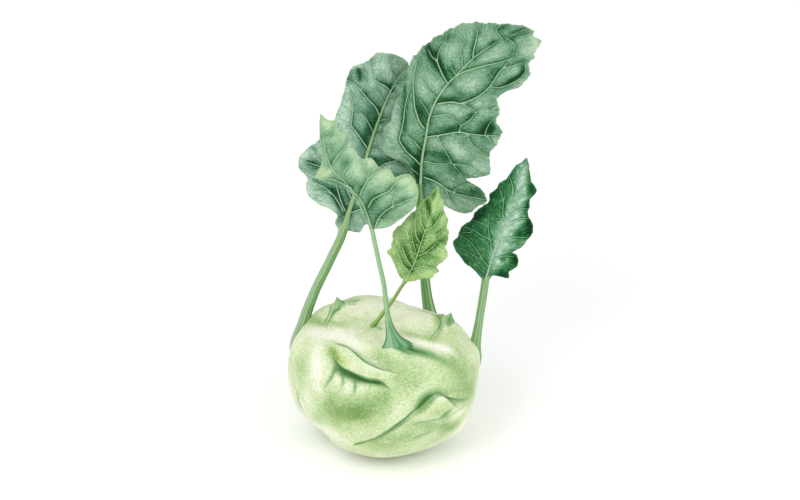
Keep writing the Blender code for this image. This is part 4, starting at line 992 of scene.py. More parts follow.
# %% Cushions and hollows
SPOTS = {
    "large_leaf": [
        (26, 155, 11, 2.2, -58, -1.1), (26.5, 157, 2.5, 1.8, 0, -0.5), (33.5, 149.5, 2, 2.2, 0, -0.6),
        (32.5, 165.5, 3.5, 2, 10, -0.5), (44.5, 161.5, 6, 1, 80, -0.7), (59, 170.5, 3.4, 1.6, 5, -0.6),
        (54.2, 163.2, 2.8, 1.2, 20, -0.6), (64.5, 158, 2.6, 4, 20, -0.45), (54.5, 148, 3.6, 2.8, 30, -0.6),
        (62.5, 143.6, 6.5, 1.5, 34, -0.8), (69, 149.3, 1.2, 3, 0, -0.6), (38.5, 137.5, 3, 2.2, 0, -0.4),
        (31.5, 135, 5.5, 1.6, 5, -0.5), (43.5, 126.5, 4, 1.8, 30, -0.6), (52, 121.5, 3.4, 4.2, 35, -1.1),
        (34, 120.5, 5.5, 1.6, 8, -0.7), (38.8, 113, 2.6, 3.4, 0, -0.5), (27, 107.5, 8, 1.8, -8, -0.7),
        (31, 105.4, 4, 2.2, -20, -0.6), (35, 99.5, 4, 3, -45, -0.75), (19.4, 129, 2.8, 5.6, 20, -0.9),
        (16.6, 101, 9, 1.8, 82, -1.3), (45.5, 89, 4.4, 2, -10, -0.65), (22.5, 93.5, 2.4, 3.4, 0, -0.6),
        (10.5, 124, 1.5, 9, 0, -0.35), (12.2, 108.5, 1.4, 4, 35, -0.5), (49, 113, 4, 2.2, 0, -0.4),
        (16.5, 142, 4, 9, 20, 0.3), (33, 160.5, 3.4, 4.4, -20, 0.4), (48, 164, 4.4, 2.8, 20, 0.35),
            (5, 124, 4, 14, 0, 0.5),
        (48, 153.5, 11, 2, 28, 0.3), (41, 142.5, 8, 3.4, 20, 0.25), (56, 156, 7, 1.6, 22, 0.3),
        (36.5, 109.5, 4.6, 4.8, 0, 0.7), (29.5, 112.5, 5, 2, -15, 0.4), (47.5, 112, 2.8, 2.8, 0, 0.35),
        (47.5, 100.5, 5.5, 3, -15, 0.7), (33, 129, 6.5, 2.4, -8, 0.55), (49, 130.5, 3.2, 5, 0, 0.4),
        (71, 158.5, 6.5, 4.5, 20, 0.4), (37.5, 82, 8, 2.4, -12, 0.7), (30.5, 92.5, 6, 1.8, -15, 0.4),
        (55.5, 115, 2.4, 5, 0, 0.5), (65.5, 148, 4, 2.4, 30, 0.3), (24, 142, 2.6, 5, 35, 0.35),
    ],
    "left_leaf": [
        (-7.6, 120, 9, 2.2, 64, -1.0), (-6, 129, 4.4, 4, 50, -0.7), (-13, 148.5, 1.3, 3.4, 10, -0.9),
        (-16.8, 147.5, 2, 2.2, 0, -0.4), (3.2, 141.5, 2, 3, 20, -0.6), (-9.4, 137.5, 2.4, 2.4, 0, -0.35),
        (-0.6, 123.5, 2.6, 1.5, 0, -0.6), (-3.4, 104.5, 4, 2.2, 10, -0.9), (6.5, 97, 5, 1.8, 0, -0.8),
        (5, 106, 5, 1.6, 15, -0.4), (-22.8, 85.5, 8.5, 1.7, -62, -1.2), (-36, 102.8, 3.4, 2, -15, -0.8),
        (-32.5, 100, 3, 1.4, 20, -0.5), (-17.5, 79, 3, 1.6, 60, -0.9), (-21, 104, 4, 3, 40, -0.4),
        (-19.5, 130, 3.4, 9, -14, 0.35), (-9.5, 142, 3, 2.4, 0, 0.4), (-2, 152, 6, 2.6, 5, 0.3),
        (-13.5, 152, 2.4, 1.6, 0, 0.5), (-37, 89.5, 6.5, 2.6, -10, 0.4), (-29.5, 82.5, 6, 2.4, -25, 0.25),
        (-40, 107, 3, 3, 20, 0.5), (-30.5, 108.5, 4.4, 3, 30, 0.3), (2.5, 147, 2, 4, 0, 0.4),
        (-5.5, 147.5, 2.4, 4, 10, 0.45), (7, 119, 3, 8, -10, 0.3), (-27, 94, 4, 2.2, -55, 0.5),
    ],
    "front_leaf": [
        (-19.4, 103, 4, 2.6, 30, -0.6), (-13.5, 92, 5, 2.4, -45, -0.5), (-6, 82, 5, 3.6, 60, -0.8),
        (-1.5, 77, 7, 3, 25, -0.55), (9.5, 84, 5, 2, 30, -0.5), (-25, 117, 2.6, 2, 0, -0.35),
        (-26.5, 109, 3, 1.6, 20, -0.4), (-8, 88, 3, 1.8, 40, -0.4), (4, 91, 3, 1.6, 40, -0.4),
        (-13, 99.5, 3.4, 4.4, 0, 0.45), (-2, 95, 5, 3, 30, 0.6), (-27.5, 121.5, 2.6, 2.8, 0, 0.5),
        (-22.5, 113.5, 4, 3, 30, 0.5), (-30, 97.5, 4, 2.4, 20, 1.0), (10.5, 93.5, 4.6, 2.4, 20, 0.7),
        (-6.8, 103, 3.4, 2.2, -30, 0.7), (13, 88, 2.4, 4, 0, 0.5), (7.5, 80.5, 4, 1.8, 20, 0.3),
        (-16, 108, 3, 4, 20, 0.4), (2, 86, 3, 1.5, 30, 0.35),
    ],
    "young_leaf": [
        (22, 81.5, 9, 1.3, -74, -1.5), (25.3, 87.2, 3.4, 1.2, 70, -0.9), (18.2, 65.5, 3.8, 1.7, 80, -1.3),
        (25.5, 61.8, 7, 1.3, 38, -1.2), (11.6, 57.5, 6.5, 1.2, -62, -0.8), (15.2, 61.5, 6, 1.1, -78, -0.9),
        (28.5, 77.2, 5, 1.3, 50, -0.6), (21, 55.5, 5, 1.6, 0, -0.4), (28.5, 69, 4, 1.2, 40, -0.5),
        (12.5, 50.5, 3.4, 1.2, -50, -0.6), (24.6, 80.5, 9, 1.1, 76, 1.1), (9.5, 68, 5, 3, 40, 0.5),
        (28.5, 57, 3, 4.4, 0, 0.35), (22.5, 48.2, 7, 1.7, 8, 0.5), (7, 52, 5, 2, -50, 0.2),
        (29.5, 73.5, 2, 5, 0, 0.5), (22.5, 65.5, 5, 1.5, 38, 0.5), (28.6, 82, 1.6, 4, 0, 0.6),
        (13.5, 73, 5, 1.6, 40, 0.5), (6, 62, 2, 4, 0, 0.4),
    ],
    "right_leaf": [
        (50, 84, 9, 3.4, 50, -0.8), (46.5, 76, 6, 2.4, 30, -0.5), (60, 98.5, 8, 1.4, 45, -0.4),
        (72.5, 81, 2, 5, 10, -0.5), (73, 72, 2.2, 6, 0, -0.9), (67, 56, 3, 4, 0, -0.8),
            (60, 47.5, 5, 1.6, -15, -0.4),
        (68, 68, 4, 1.2, 10, -0.3), (74, 90, 1.8, 4, 20, -0.4), (43, 53, 4, 3, -45, -0.2),
        (55.5, 54, 7, 2.6, 74, 1.0), (59.5, 65, 8, 4.2, 66, 1.3), (63.5, 76, 8, 4.2, 66, 1.3),
        (67, 87, 8, 3.4, 74, 1.3), (69, 98, 7, 2.2, 74, 1.1), (66, 61, 6, 1.8, 25, 0.5),
        (68.5, 74, 4, 1.6, 25, 0.5), (71, 85.5, 3, 1.6, 30, 0.5), (60.5, 53.5, 4, 1.8, 35, 0.4),
        (47, 60, 5, 7, 0, 0.18), (52, 70, 2.6, 6, 10, 0.2),
    ],
}
# Strokes of painted shade along the ribs, where the blade folds down steeply
LEAF_STROKES = {
    "large_leaf": [
        ([
            (13.5, 154), (11.4, 146), (10.8, 136), (9.8, 126), (8.8, 116), (10.2, 109.5)
        ], 0.6, 0.2, 2.2, 0.2, 0.3),
        ([(21.5, 161), (24, 156.5), (27, 151.5), (30.5, 146.5)], 0.85, 1.0, 2.4, 0.2, 0.3),
        ([(18.4, 86), (17.6, 94), (17.5, 100), (18.2, 106)], 0.8, 2.6, 0.5, 0.2, 0.3),
        ([(0, 106.5), (6, 104.6), (11, 102.2), (15, 98)], 0.6, 0.5, 1.6, 0.3, 0.3),
        ([
            (58.5, 140.9), (63.5, 143.2), (67.2, 145.8), (70.2, 149.2), (70, 152.4)
        ], 0.75, 1.8, 0.3, 0.3, 0.3),
        ([(61.5, 164.6), (67, 166.6), (73, 168.4)], 0.8, 0.15, 0.8, 0.1, 0.2),
        ([(62, 167.3), (67, 169.2), (72.5, 171.2)], 0.75, 0.8, 0.3, 0.2, 0.2),
        ([(44, 118), (50, 117.5), (54, 119), (55.5, 122.5)], 0.7, 3.0, 0.5, 0.3, 0.3),
    ],
    "left_leaf": [
        ([(-14, 87), (-10.6, 97), (-8, 106), (-5, 116), (-2, 125)], 0.6, 3.6, 0.4, 0.2, 0.4),
        ([(-20.5, 77), (-24, 84), (-27.5, 92)], 0.75, 1.0, 1.0, 0.2, 0.4),
        ([(-17.5, 83), (-19.5, 90), (-22, 97)], 0.6, 1.0, 1.0, 0.2, 0.4),
        ([(-13.3, 151), (-12, 147), (-12.8, 143.4)], 0.7, 1.6, 0.8, 0.3, 0.3),
        ([(-24.5, 84), (-29.5, 88.2), (-35.5, 90.6)], 0.4, 0.3, 1.4, 0.2, 0.6),
        ([(-25.5, 88), (-30, 92.2), (-35, 94.6)], 0.35, 0.3, 1.2, 0.2, 0.6),
    ],
    "front_leaf": [
        ([
            (-6, 71), (-9, 79.5), (-12, 85), (-18, 91.6), (-25, 99.5), (-28.6, 108), (-29.8, 118)
        ], 0.5, 0.2, 0.9, 0.1, 0.3),
        ([(-3.5, 71.5), (-1.5, 75.5), (2, 78.8), (8.4, 81.6), (13, 84)], 0.4, 0.3, 1.0, 0.2, 0.4),
        ([(-7.4, 79.8), (-5, 83.5), (-1, 86), (4, 89.2), (8, 93.2)], 0.4, 0.3, 1.2, 0.2, 0.4),
        ([(-30.5, 94.6), (-24, 93.4), (-17, 89.4)], 0.55, 0.2, 1.3, 0.2, 0.3),
    ],
    "young_leaf": [],
    "right_leaf": [
        ([(44, 76.5), (49, 82), (53.4, 87.6), (58, 93.6)], 0.6, 1.0, 2.6, 0.2, 0.3),
        ([(52.6, 52), (53.8, 58), (53.4, 63)], 0.35, 0.3, 0.8, 0.2, 0.4),
    ],
}
TINTS = {
    "large_leaf": [(76.2, 161, 2.2, 6, 15, 0.8), (2, 106.5, 6, 2.6, -25, 0.5), (57, 108, 3, 4, 0, 0.35),
        (70.5, 143.5, 7, 1.3, 42, 0.45), (74, 150, 1.2, 4, 0, 0.4)],
    "left_leaf": [(-38.5, 91, 2.2, 5, -25, 0.5), (-31, 82, 6, 1.2, -22, 0.4),
        (-41, 106, 2.4, 4, 0, 0.4), (-22, 71, 3, 2, 0, 0.5)],
    "front_leaf": [
        (6, 96, 6, 3.4, 0, 0.6), (-21, 118, 4, 3, 0, 0.6), (-31, 97.5, 4, 2.4, 20, 0.9),
            (14, 92, 3, 3, 0, 0.5),
        (-29.5, 124, 2.4, 3, 0, 0.6),
    ],
    "young_leaf": [(22.5, 46.4, 8, 1.2, 8, 0.8), (2.6, 58.4, 2.4, 2.4, 0, 0.8),
        (31, 55, 2, 3, 0, 0.6), (12, 45.2, 4, 1.2, 0, 0.7)],
    "right_leaf": [],
}
print(sum(len(spots) for spots in SPOTS.values()), "soft spots")

# %% [markdown]
# ## From outline to leaf
# The middle layer of a leaf is a grid: its rows cross the stalk and then run from the midrib out
# to both margins, and its columns run lengthwise. The margins get small teeth and a frill, as the
# real ones have. Lines finer than the grid, such as the veins, aren't put in its points at all:
# each point only keeps how far it is from the nearest vein, in vein widths and with a sign for
# the side. That changes evenly across a vein, so the material can draw a thin, sharp line there.

# %% The middle layer
TIP_NARROWING = 0.74
RUFFLE_SHIFT = 1.3
COLUMN_POWER = 1.3
SLIVER_AREA = 0.02
VEIN_HALF_WIDTHS = {1: 0.21, 2: 0.31}
RIB_NARROWING = 0.42
RIB_FLATTENING = 0.6
WASH_REACH = 2.4
SHADE_SIDE = np.array([0.25, 0.97])


def skin_normals(points):
    """The direction out of the layer at each point, from the cells around it."""
    areas = np.cross(np.gradient(points, axis=1), np.gradient(points, axis=0))
    areas[..., 2] += SLIVER_AREA
    return areas / np.linalg.norm(areas, axis=2)[:, :, None]


def leaf_layer(leaf, stalk_step, blade_rows, half_columns, teeth):
    """The middle layer on the sheet, its half thickness, and masks, as arrays of rows by columns."""
    spine = np.asarray(leaf["spine"], float)
    lengths = np.concatenate([[0], np.cumsum(np.linalg.norm(np.diff(spine, axis=0), axis=1))])
    blade_start = lengths[leaf["blade_from"]]
    foot, neck, depth = leaf["stalk_half_width"]

    shares = np.linspace(0, 1, 2000)
    edges = [np.array(leaf[side]) for side in ("left", "right")]
    margins = [smooth(edge[:, 0], edge[:, 1:], shares) for edge in edges]
    travel = sum(np.linalg.norm(np.diff(margin, axis=0), axis=1) for margin in margins)
    travel = np.concatenate([[0], np.cumsum(travel)])
    rows = np.interp(np.linspace(0, travel[-1], blade_rows), travel, shares)

    at_stalk = np.arange(0, blade_start - stalk_step / 2, stalk_step)
    along = np.concatenate([at_stalk, blade_start + rows * (lengths[-1] - blade_start)])
    share = np.concatenate([np.zeros(len(at_stalk)), rows])
    in_blade = np.arange(len(along)) >= len(at_stalk)
    middle = smooth(lengths, spine, along)
    heading = np.gradient(middle[:, :2], along, axis=0)
    heading /= np.linalg.norm(heading, axis=1)[:, None]
    right_of = np.stack([heading[:, 1], -heading[:, 0]], axis=1)
    flare = np.exp(-np.maximum(along - lengths[1], 0) / leaf["flare_reach"])
    width = (neck + (foot - neck) * flare) * (1 - TIP_NARROWING * share)
    width *= 1 - RIB_NARROWING * eased(share, 0, 0.12)
    deep = depth * (1 + flare / 2) * (1 - TIP_NARROWING * share)
    deep *= 1 - RIB_FLATTENING * eased(share, 0, 0.12)

    columns = np.arange(-half_columns, half_columns + 1) / half_columns
    spread = np.abs(columns) ** COLUMN_POWER
    side = (columns > 0).astype(int)
    out_to = np.zeros((len(along), len(columns), 2))
    for j, is_right in enumerate(side):
        edge = edges[is_right]
        sign = 1 if is_right else -1
        out_to[:, j] = middle[:, :2] + right_of * sign * width[:, None]
        out_to[in_blade, j] = smooth(edge[:, 0], edge[:, 1:], rows)
    apart = out_to - middle[:, None, :2]
    reach = np.linalg.norm(apart, axis=2)
    steps = np.linalg.norm(np.diff(out_to, axis=0, prepend=out_to[:1]), axis=2)
    edge_run = np.cumsum(steps, axis=0) + 37.0 * side[None, :]
    ends = np.clip(np.sin(math.pi * share), 0, 1)[:, None] ** 0.5
    ragged = np.sin(edge_run * 1.9) * 0.5 + np.sin(edge_run * 0.83 + 1) * 0.8 + np.sin(edge_run * 3.7) * 0.25
    out_to = out_to + apart / np.maximum(reach, 0.1)[..., None] * (teeth * ragged * ends)[..., None]
    apart = out_to - middle[:, None, :2]
    reach = np.linalg.norm(apart, axis=2)
    rounded = np.sin(spread * math.pi / 2)[None, :]
    opened = np.where(in_blade[:, None], eased(reach / width[:, None], 1.0, 4.0), 0)
    part = rounded + (spread[None, :] - rounded) * opened

    points = np.zeros((len(along), len(columns), 3))
    points[..., :2] = middle[:, None, :2] + apart * part[..., None]
    rise, curl = np.array(leaf["rise"])[side][None, :], np.array(leaf["curl"])[side][None, :]
    height, waves = leaf["ruffle"]
    wave = np.sin(2 * math.pi * waves * share[:, None] + RUFFLE_SHIFT * side[None, :])
    lift = reach * part * (rise + curl * part) + height * wave * part**2 * ends
    frill = np.sin(edge_run * 0.62) + 0.6 * np.sin(edge_run * 1.13 + 2)
    points[..., 2] = middle[:, None, 2] + np.where(in_blade[:, None], lift + 0.5 * frill * part**4 * ends, 0)

    off_rib = reach * part
    rib = deep[:, None] * np.sqrt(np.clip(1 - (off_rib / width[:, None]) ** 2, 0, 1))
    masks = {
        "rib": off_rib / width[:, None],
        "off_rib": off_rib,
        "to_margin": np.where(in_blade[:, None], reach * (1 - part), 9.0),
        "stripe": np.broadcast_to(columns[None, :] * 0.5 + 0.5, reach.shape),
        "foot": np.broadcast_to(flare[:, None], reach.shape),
        "opened": opened,
        "share": np.broadcast_to(share[:, None], reach.shape),
        "along": np.broadcast_to(along[:, None], reach.shape),
    }
    return points, rib, masks


def vein_marks(veins, across, up):
    """How far the nearest vein is in its own half widths, with a sign, and in millimetres, and
    the wash of shade beside the veins, mostly above each."""
    signed = np.full(across.shape, 9.0)
    nearest = np.full(across.shape, 99.0)
    wash = np.zeros(across.shape)
    for weight, line in veins:
        keys = np.arange(len(line))
        fine = smooth(keys, line, np.linspace(0, keys[-1], 5 * len(line)))
        left, share = beside_line(fine, across, up)
        distance = np.abs(left)
        closer = distance < nearest
        nearest = np.where(closer, distance, nearest)
        signed = np.where(closer, left / (VEIN_HALF_WIDTHS[weight] * (1 - 0.5 * share**2)), signed)
        run = np.array(line[-1], float) - line[0]
        away = np.array([-run[1], run[0]]) / np.linalg.norm(run)
        above = 0.5 + 0.5 * np.tanh(left * (away @ SHADE_SIDE) / 0.3)
        strength = (0.3 + 0.3 * weight) * (1 - 0.5 * share) * (0.25 + 0.75 * above)
        wash = np.maximum(wash, strength * np.exp(-((distance / WASH_REACH) ** 1.2)))
    return np.clip(signed, -9, 9), nearest, wash


# %% [markdown]
# ## Making one leaf
# A flat grid is added with `primitive_grid_add`, and each of its points moves to the same row and
# column of the middle layer. A Solidify modifier then gives it its thickness, from a vertex group
# that is thick at the stalk and thin in the blade, so stalk, midrib and blade stay one closed skin.

# %% Grow a leaf
HALF_BLADE = 0.24
HALF_THICKEST = 3.0


def grow_leaf(name, leaf, veins, spots, tints, strokes, size, quilt, teeth, rib_wash):
    """One leaf, from its flat grid to a closed piece with its masks."""
    stalk_step, blade_rows, half_columns = size
    points, rib, masks = leaf_layer(leaf, stalk_step, blade_rows, half_columns, teeth)
    across, up = points[..., 0], points[..., 1]
    signed, to_vein, wash = vein_marks(veins, across, up)
    # The soft spots give the cushions and hollows their relief, and their painted highlight and painted shade
    cushions_and_shade, tint = np.tanh(soft_spots(spots, across, up)), soft_spots(tints, across, up)
    # Painted shade beside the midrib, joined to the painted shade beside the veins and along the strokes
    shade_beside_rib = rib_wash * (1 - 0.8 * masks["share"]) * np.exp(-((masks["off_rib"] / WASH_REACH) ** 1.3))
    wash = np.maximum(wash, shade_beside_rib)
    wash = 1 - (1 - np.clip(wash, 0, 1)) * (1 - all_strokes(strokes, across, up))
    to_any = np.minimum(to_vein, masks["off_rib"] * 0.8)
    blade = masks["opened"] * eased(masks["rib"], 0.8, 1.6)
    swell = eased(to_any, 0.0, 3.4)
    bumpy = chance_field(points.reshape(-1, 3), 4.5, 21).reshape(across.shape)
    relief = quilt * (swell - 0.6 + 0.12 * bumpy) + 0.55 * cushions_and_shade + 0.12 * np.exp(-((to_vein / 0.5) ** 2))
    relief *= blade * eased(masks["to_margin"], 0.0, 2.5)
    grooves = 0.06 * np.cos(masks["stripe"] * 26) * (1 - masks["opened"])
    points = points + skin_normals(points) * (relief + grooves)[..., None]
    half = np.maximum(rib, HALF_BLADE) * (0.6 + 0.4 * eased(masks["to_margin"], 0, 1.2))

    count, columns = across.shape
    piece = fresh_start(
        bpy.ops.mesh.primitive_grid_add, x_subdivisions=columns - 1, y_subdivisions=count - 1, size=2
    )
    piece.name = piece.data.name = name
    flat = np.empty(count * columns * 3, np.float32)
    piece.data.vertices.foreach_get("co", flat)
    flat = flat.reshape(-1, 3)
    j = np.rint((flat[:, 0] + 1) / 2 * (columns - 1)).astype(int)
    i = np.rint((flat[:, 1] + 1) / 2 * (count - 1)).astype(int)
    piece.data.vertices.foreach_set("co", place(points[i, j]).astype(np.float32).ravel())
    kept = {
        "vein": signed, "vein_near": 1 - eased(to_vein, 0.7, 1.5),
        "wash": wash, "cushions_and_shade": cushions_and_shade, "tint": np.clip(tint, 0, 1),
        "rib": np.clip(masks["rib"], 0, 9), "stripe": masks["stripe"],
        "blade": blade, "rim": masks["to_margin"], "foot": masks["foot"], "opened": masks["opened"],
        "along": masks["along"], "off": masks["off_rib"] * np.where(masks["stripe"] > 0.5, 1, -1),
    }
    for mask, values in kept.items():
        add_mask(piece, mask, values[i, j])
    thick = piece.vertex_groups.new(name="thickness")
    for index, weight in enumerate((half[i, j] / HALF_THICKEST).tolist()):
        thick.add([index], weight, "REPLACE")
    solid = piece.modifiers.new("thickness", "SOLIDIFY")
    solid.thickness = 2 * HALF_THICKEST * MM
    solid.offset = 0
    solid.vertex_group = thick.name
    bpy.ops.object.modifier_apply(modifier=solid.name)
    piece.vertex_groups.clear()
    under = np.zeros(len(piece.data.vertices))
    under[count * columns :] = 1
    add_mask(piece, "under", under)
    return piece


# %% [markdown]
# ## The finish of a leaf
# One ramp of greens runs from the deepest hollow to the palest cushion. The soft spots, with their
# painted highlight and shade, the washes of painted shade beside the veins and the midrib, noise at
# three sizes, streaks that run out from the midrib, and a faint net of small veins, whose cells are
# painted darker towards their edges as shade, all move each point along that ramp, so they never
# bring in a colour of their own. Over it come the drawn veins, each with a thin painted shade
# beside it, a band of painted shade beside the midrib, the midrib, the rim, and the stripes and
# furrows of the stalk, whose stripes carry painted light too, paler on the left and darker towards
# the right edge. The underside is paler. The same recipe serves all five leaves, with a palette for
# each.

# %% Leaf palettes
PALETTES = {
    "large_leaf": {
        "greens": ["0A4020", "2F6A42", "5F906C", "8AB092", "B4D2B5"], "vein": "A9CBA1", "rim": "B9D3A4",
        "stripes": ["BCD8AE", "B4D3A4", "4C7F3C", "7FAA68", "6A9A58", "A8CB92", "7BA568", "4E8040"],
        "midrib": "AECB9C", "tip": "CBE0BC", "slot": "blue_green_leaf",
        "base": 0.77, "contrast": 1.0, "wash": 0.78, "net": 0.24,
        "rib_edge": 0.7, "vein_strength": 1.0, "vein_edge": 0.95, "furrow": "4C7F3C",
    },
    "left_leaf": {
        "greens": ["0C4424", "356B4C", "67957A", "92B59B", "C2DDC4"], "vein": "ABCCA6", "rim": "B4D0AC",
        "stripes": ["E4F0DC", "D2E5C6", "8FB583", "9CC288", "B2D49C", "86B276", "5E9254", "9CC08C"],
        "midrib": "A6C68A", "tip": "BEDCC4", "slot": "blue_green_leaf",
        "base": 0.84, "contrast": 1.05, "wash": 0.78, "net": 0.24,
        "rib_edge": 1.0, "vein_strength": 0.95, "vein_edge": 0.9, "furrow": "44763A",
    },
    "front_leaf": {
        "greens": ["2A5E3A", "5A8B66", "82AA86", "9FC49E", "C6DFB6"], "vein": "B0CFA4", "rim": "B9D49C",
        "stripes": ["C4DDB6", "BAD7AB", "A6CA96", "98C089", "ABCE9E", "8FBA80", "84B275", "74A267"],
        "foot": ["6A9A6C", "4F8256", "A9D0A9", "86B68A", "C0DEBC", "6FA276", "97C49A", "5C9266",
            "86B68C", "71A478", "5C9166", "467852"],
        "midrib": "A3C298", "tip": "B4D294", "slot": "pale_leaf",
        "base": 0.73, "contrast": 0.95, "wash": 0.66, "net": 0.22,
        "rib_edge": 0.42, "vein_strength": 0.8, "vein_edge": 0.85, "furrow": "4C7F54",
    },
    "young_leaf": {
        "greens": ["22561A", "4C7E38", "76A15C", "94BD76", "BADA98"], "vein": "ACCB8B", "rim": "B4CE6E",
        "stripes": ["84A04C", "93B05A", "B2CB7C", "9FBC66", "86A64C", "779842", "64873A", "55782F"],
        "midrib": "B0CF8E", "tip": "A9C86E", "slot": "young_leaf",
        "base": 0.76, "contrast": 0.95, "wash": 0.42, "net": 0.34,
        "rib_edge": 0.7, "vein_strength": 0.8, "vein_edge": 0.75, "furrow": "6C8C3C",
    },
    "right_leaf": {
        "greens": ["02300F", "165C2E", "4C8C5A", "9CC2A6", "DCEEE0"], "vein": "96C090", "rim": "4F8A5A",
        "stripes": ["C6E0BC", "A8CC98", "6A9C58", "B4D4A4", "5C9050", "A2C892", "6C9E5C", "9CC48E"],
        "midrib": "B4D2BA", "tip": "6C9A78", "slot": "dark_leaf",
        "base": 0.45, "contrast": 1.0, "wash": 0.14, "net": 0.1,
        "rib_edge": 0.6, "vein_strength": 0.7, "vein_edge": 0.6, "furrow": "6E9C5C",
    },
}


WANDER = 0.0022
NET_CELL_MM = 3.2


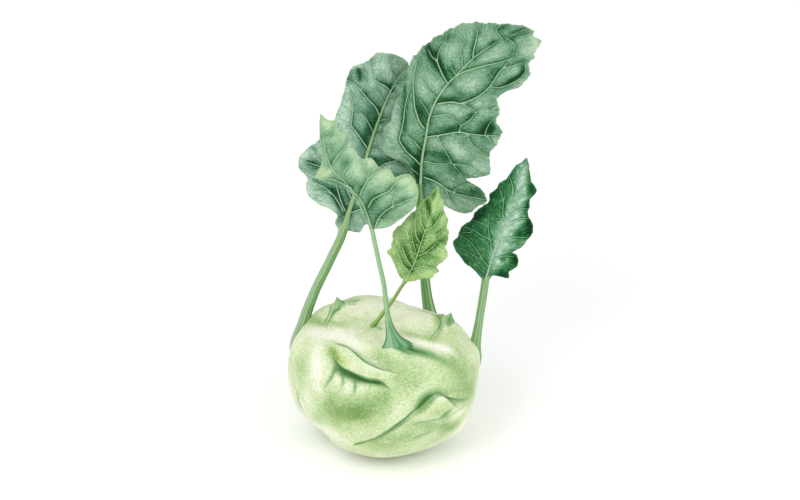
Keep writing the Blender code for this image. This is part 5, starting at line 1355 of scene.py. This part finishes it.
def leaf_finish(name, palette):
    """The material of one leaf."""
    leaf = Finish(name + "_skin", Roughness=0.6, Specular_IOR_Level=0.14)
    leaf.shader.inputs["Subsurface Weight"].default_value = 0.03
    leaf.shader.inputs["Subsurface Radius"].default_value = (0.6, 1.0, 0.3)
    leaf.shader.inputs["Subsurface Scale"].default_value = 0.001
    patchy, blotch, grain = leaf.noise(12, 3), leaf.noise(3.4, 4), leaf.noise(0.7, 2)
    wander = leaf.node("ShaderNodeTexNoise", {}, {"Vector": leaf.place, "Scale": 260.0}, "Color")
    run = leaf.node("ShaderNodeCombineXYZ", {}, {0: leaf.mask("along") * 1.7, 1: leaf.mask("off") * 0.24})
    streaks = leaf.node("ShaderNodeTexNoise", {}, {"Vector": run, "Scale": 1.0, "Detail": 3.0})
    settings = {"operation": "MULTIPLY_ADD"}
    values = {0: wander, 1: (WANDER, WANDER, WANDER), 2: leaf.place}
    warped = leaf.node("ShaderNodeVectorMath", settings, values)
    settings = {"feature": "DISTANCE_TO_EDGE"}
    cell = leaf.node("ShaderNodeTexVoronoi", settings, {"Vector": warped, "Scale": 1 / (NET_CELL_MM * MM)})
    net = 1 - cell.eased(0.0, 0.08)

    across_vein = leaf.node("ShaderNodeMath", {"operation": "ABSOLUTE"}, {0: leaf.mask("vein")})
    near, rib, blade = leaf.mask("vein_near"), leaf.mask("rib"), leaf.mask("blade")
    edge = palette["vein_edge"]
    vein = (1 - across_vein.eased(0.6 * edge, 1.4 * edge)) * near
    # A thin band of painted shade beside each vein
    shade_beside_vein = across_vein.eased(1.0, 1.6) * (1 - across_vein.eased(2.2, 4.5)) * near

    strength = palette["contrast"]
    # Painted highlight on the cushions and painted shade in the hollows, from the soft spots
    level = palette["base"] + strength * 0.6 * leaf.mask("cushions_and_shade") + 0.3 * (patchy - 0.5)
    # The last term paints shade towards the edges of each small cell of the net, as on small cushions
    fine = 0.36 * (blotch - 0.5) + 0.34 * (grain - 0.5) + 0.26 * (cell.eased(0.0, 0.6) - 0.6)
    level = level + strength * fine
    # Painted shade beside the veins, the midrib and along the strokes
    level = level - palette["wash"] * leaf.mask("wash") * (0.5 + patchy)
    level = level - 0.16 * shade_beside_vein + palette["net"] * net
    level = level + 0.55 * (streaks - 0.5) + 0.3 * leaf.mask("tint")
    colour = leaf.ramp(level, palette["greens"])
    tinted = leaf.mask("tint") * (0.5 * streaks + 0.8 * grain)
    colour = leaf.mix(colour, paint(palette["tip"]), tinted.clamped())
    rim = (1 - leaf.mask("rim").eased(0.1, 0.9)) * blotch.eased(0.25, 0.6)
    colour = leaf.mix(colour, paint(palette["rim"]), rim * 0.75)
    drawn = vein * palette["vein_strength"] * (0.7 + 0.5 * blotch).clamped()
    colour = leaf.mix(colour, paint(palette["vein"]), drawn)
    rib_edge = palette["rib_edge"]
    # A band of painted shade beside the midrib, on the blade
    shade_beside_rib = (1 - rib.eased(rib_edge, rib_edge + 0.5)) * blade
    colour = leaf.mix(colour, paint(palette["greens"][1]), shade_beside_rib * 0.35)
    on_rib = 1 - rib.eased(rib_edge * 0.7, rib_edge)
    colour = leaf.mix(colour, paint(palette["midrib"]), on_rib * 0.92)
    # The stalk's own stripes, with painted light: paler on the left and darker towards the right edge
    stripe = leaf.mask("stripe") + 0.05 * (patchy - 0.5)
    stem = leaf.ramp(stripe, palette["stripes"])
    if "foot" in palette:
        foot = leaf.ramp(leaf.mask("stripe"), palette["foot"])
        stem = leaf.mix(stem, foot, leaf.mask("foot").eased(0.01, 0.16))
    furrow = leaf.node("ShaderNodeMath", {"operation": "SINE"}, {0: stripe * 38 + 1.5 * blotch})
    stem = leaf.mix(stem, paint(palette["furrow"]), furrow.eased(0.3, 0.95) * (0.25 + 0.6 * grain))
    colour = leaf.mix(colour, stem, 1 - leaf.mask("opened").eased(0.0, 0.25))
    colour = leaf.mix(colour, paint(palette["greens"][3]), leaf.mask("under") * blade * 0.5)
    relief = leaf.bump(grain * 0.3 + blotch * 0.5 + vein * 0.6 + cell.eased(0.0, 0.4) * 0.5, 0.3, 0.5)
    return leaf.wire(Base_Color=colour, Roughness=0.5 + 0.2 * patchy, Normal=relief)


# %% Grow and finish the leaves
GRIDS = {
    "large_leaf": ((2.0, 330, 65), 0.9, 0.45, 0.75),
    "left_leaf": ((2.0, 300, 64), 0.8, 0.25, 0.75),
    "front_leaf": ((1.5, 240, 55), 0.5, 0.14, 0.45),
    "young_leaf": ((1.5, 200, 50), 0.6, 0.24, 0.6),
    "right_leaf": ((1.5, 240, 55), 0.5, 0.18, 0.0),
}
for name, (size, quilt, teeth, rib_wash) in GRIDS.items():
    marks = (VEINS[name], SPOTS[name], TINTS[name], LEAF_STROKES[name])
    grown = grow_leaf("kohlrabi_" + name, LEAVES[name], *marks, size, quilt, teeth, rib_wash)
    finish_piece(grown, name, leaf_finish(name, PALETTES[name]))

# %% [markdown]
# ## Floor and light
# A plain white floor and soft studio light: a wide lamp from the upper left, where the picture's
# light comes from, a weaker one from the right, and a bright even surround.

# %% Stage
floor = fresh_start(bpy.ops.mesh.primitive_plane_add, size=40, location=(0, 0, 0))
floor.name = "floor"
floor_finish = Finish("floor_white", Base_Color=(1, 1, 1, 1), Roughness=0.9)
floor.data.materials.append(floor_finish.material)


def soft_lamp(name, place_mm, aim_mm, size, power):
    """A square lamp that faces a point."""
    lamp = bpy.data.objects.new(name, bpy.data.lights.new(name, "AREA"))
    bpy.context.scene.collection.objects.link(lamp)
    lamp.data.shape = "SQUARE"
    lamp.data.size = size
    lamp.data.energy = power
    start, end = np.array(place_mm) * MM, np.array(aim_mm) * MM
    lamp.location = start
    lamp.rotation_euler = Vector(end - start).to_track_quat("-Z", "Y").to_euler()
    return lamp


soft_lamp("key", (-700, -700, 1100), (0, 0, 80), 0.9, 7)
soft_lamp("fill", (900, -600, 600), (0, 0, 80), 1.0, 4)
world = bpy.data.worlds.new("surround")
bpy.context.scene.world = world
world.use_nodes = True
surround = world.node_tree.nodes["Background"]
surround.inputs[0].default_value = (1, 1, 1, 1)
surround.inputs[1].default_value = 0.86
bpy.context.scene.view_settings.view_transform = "Standard"
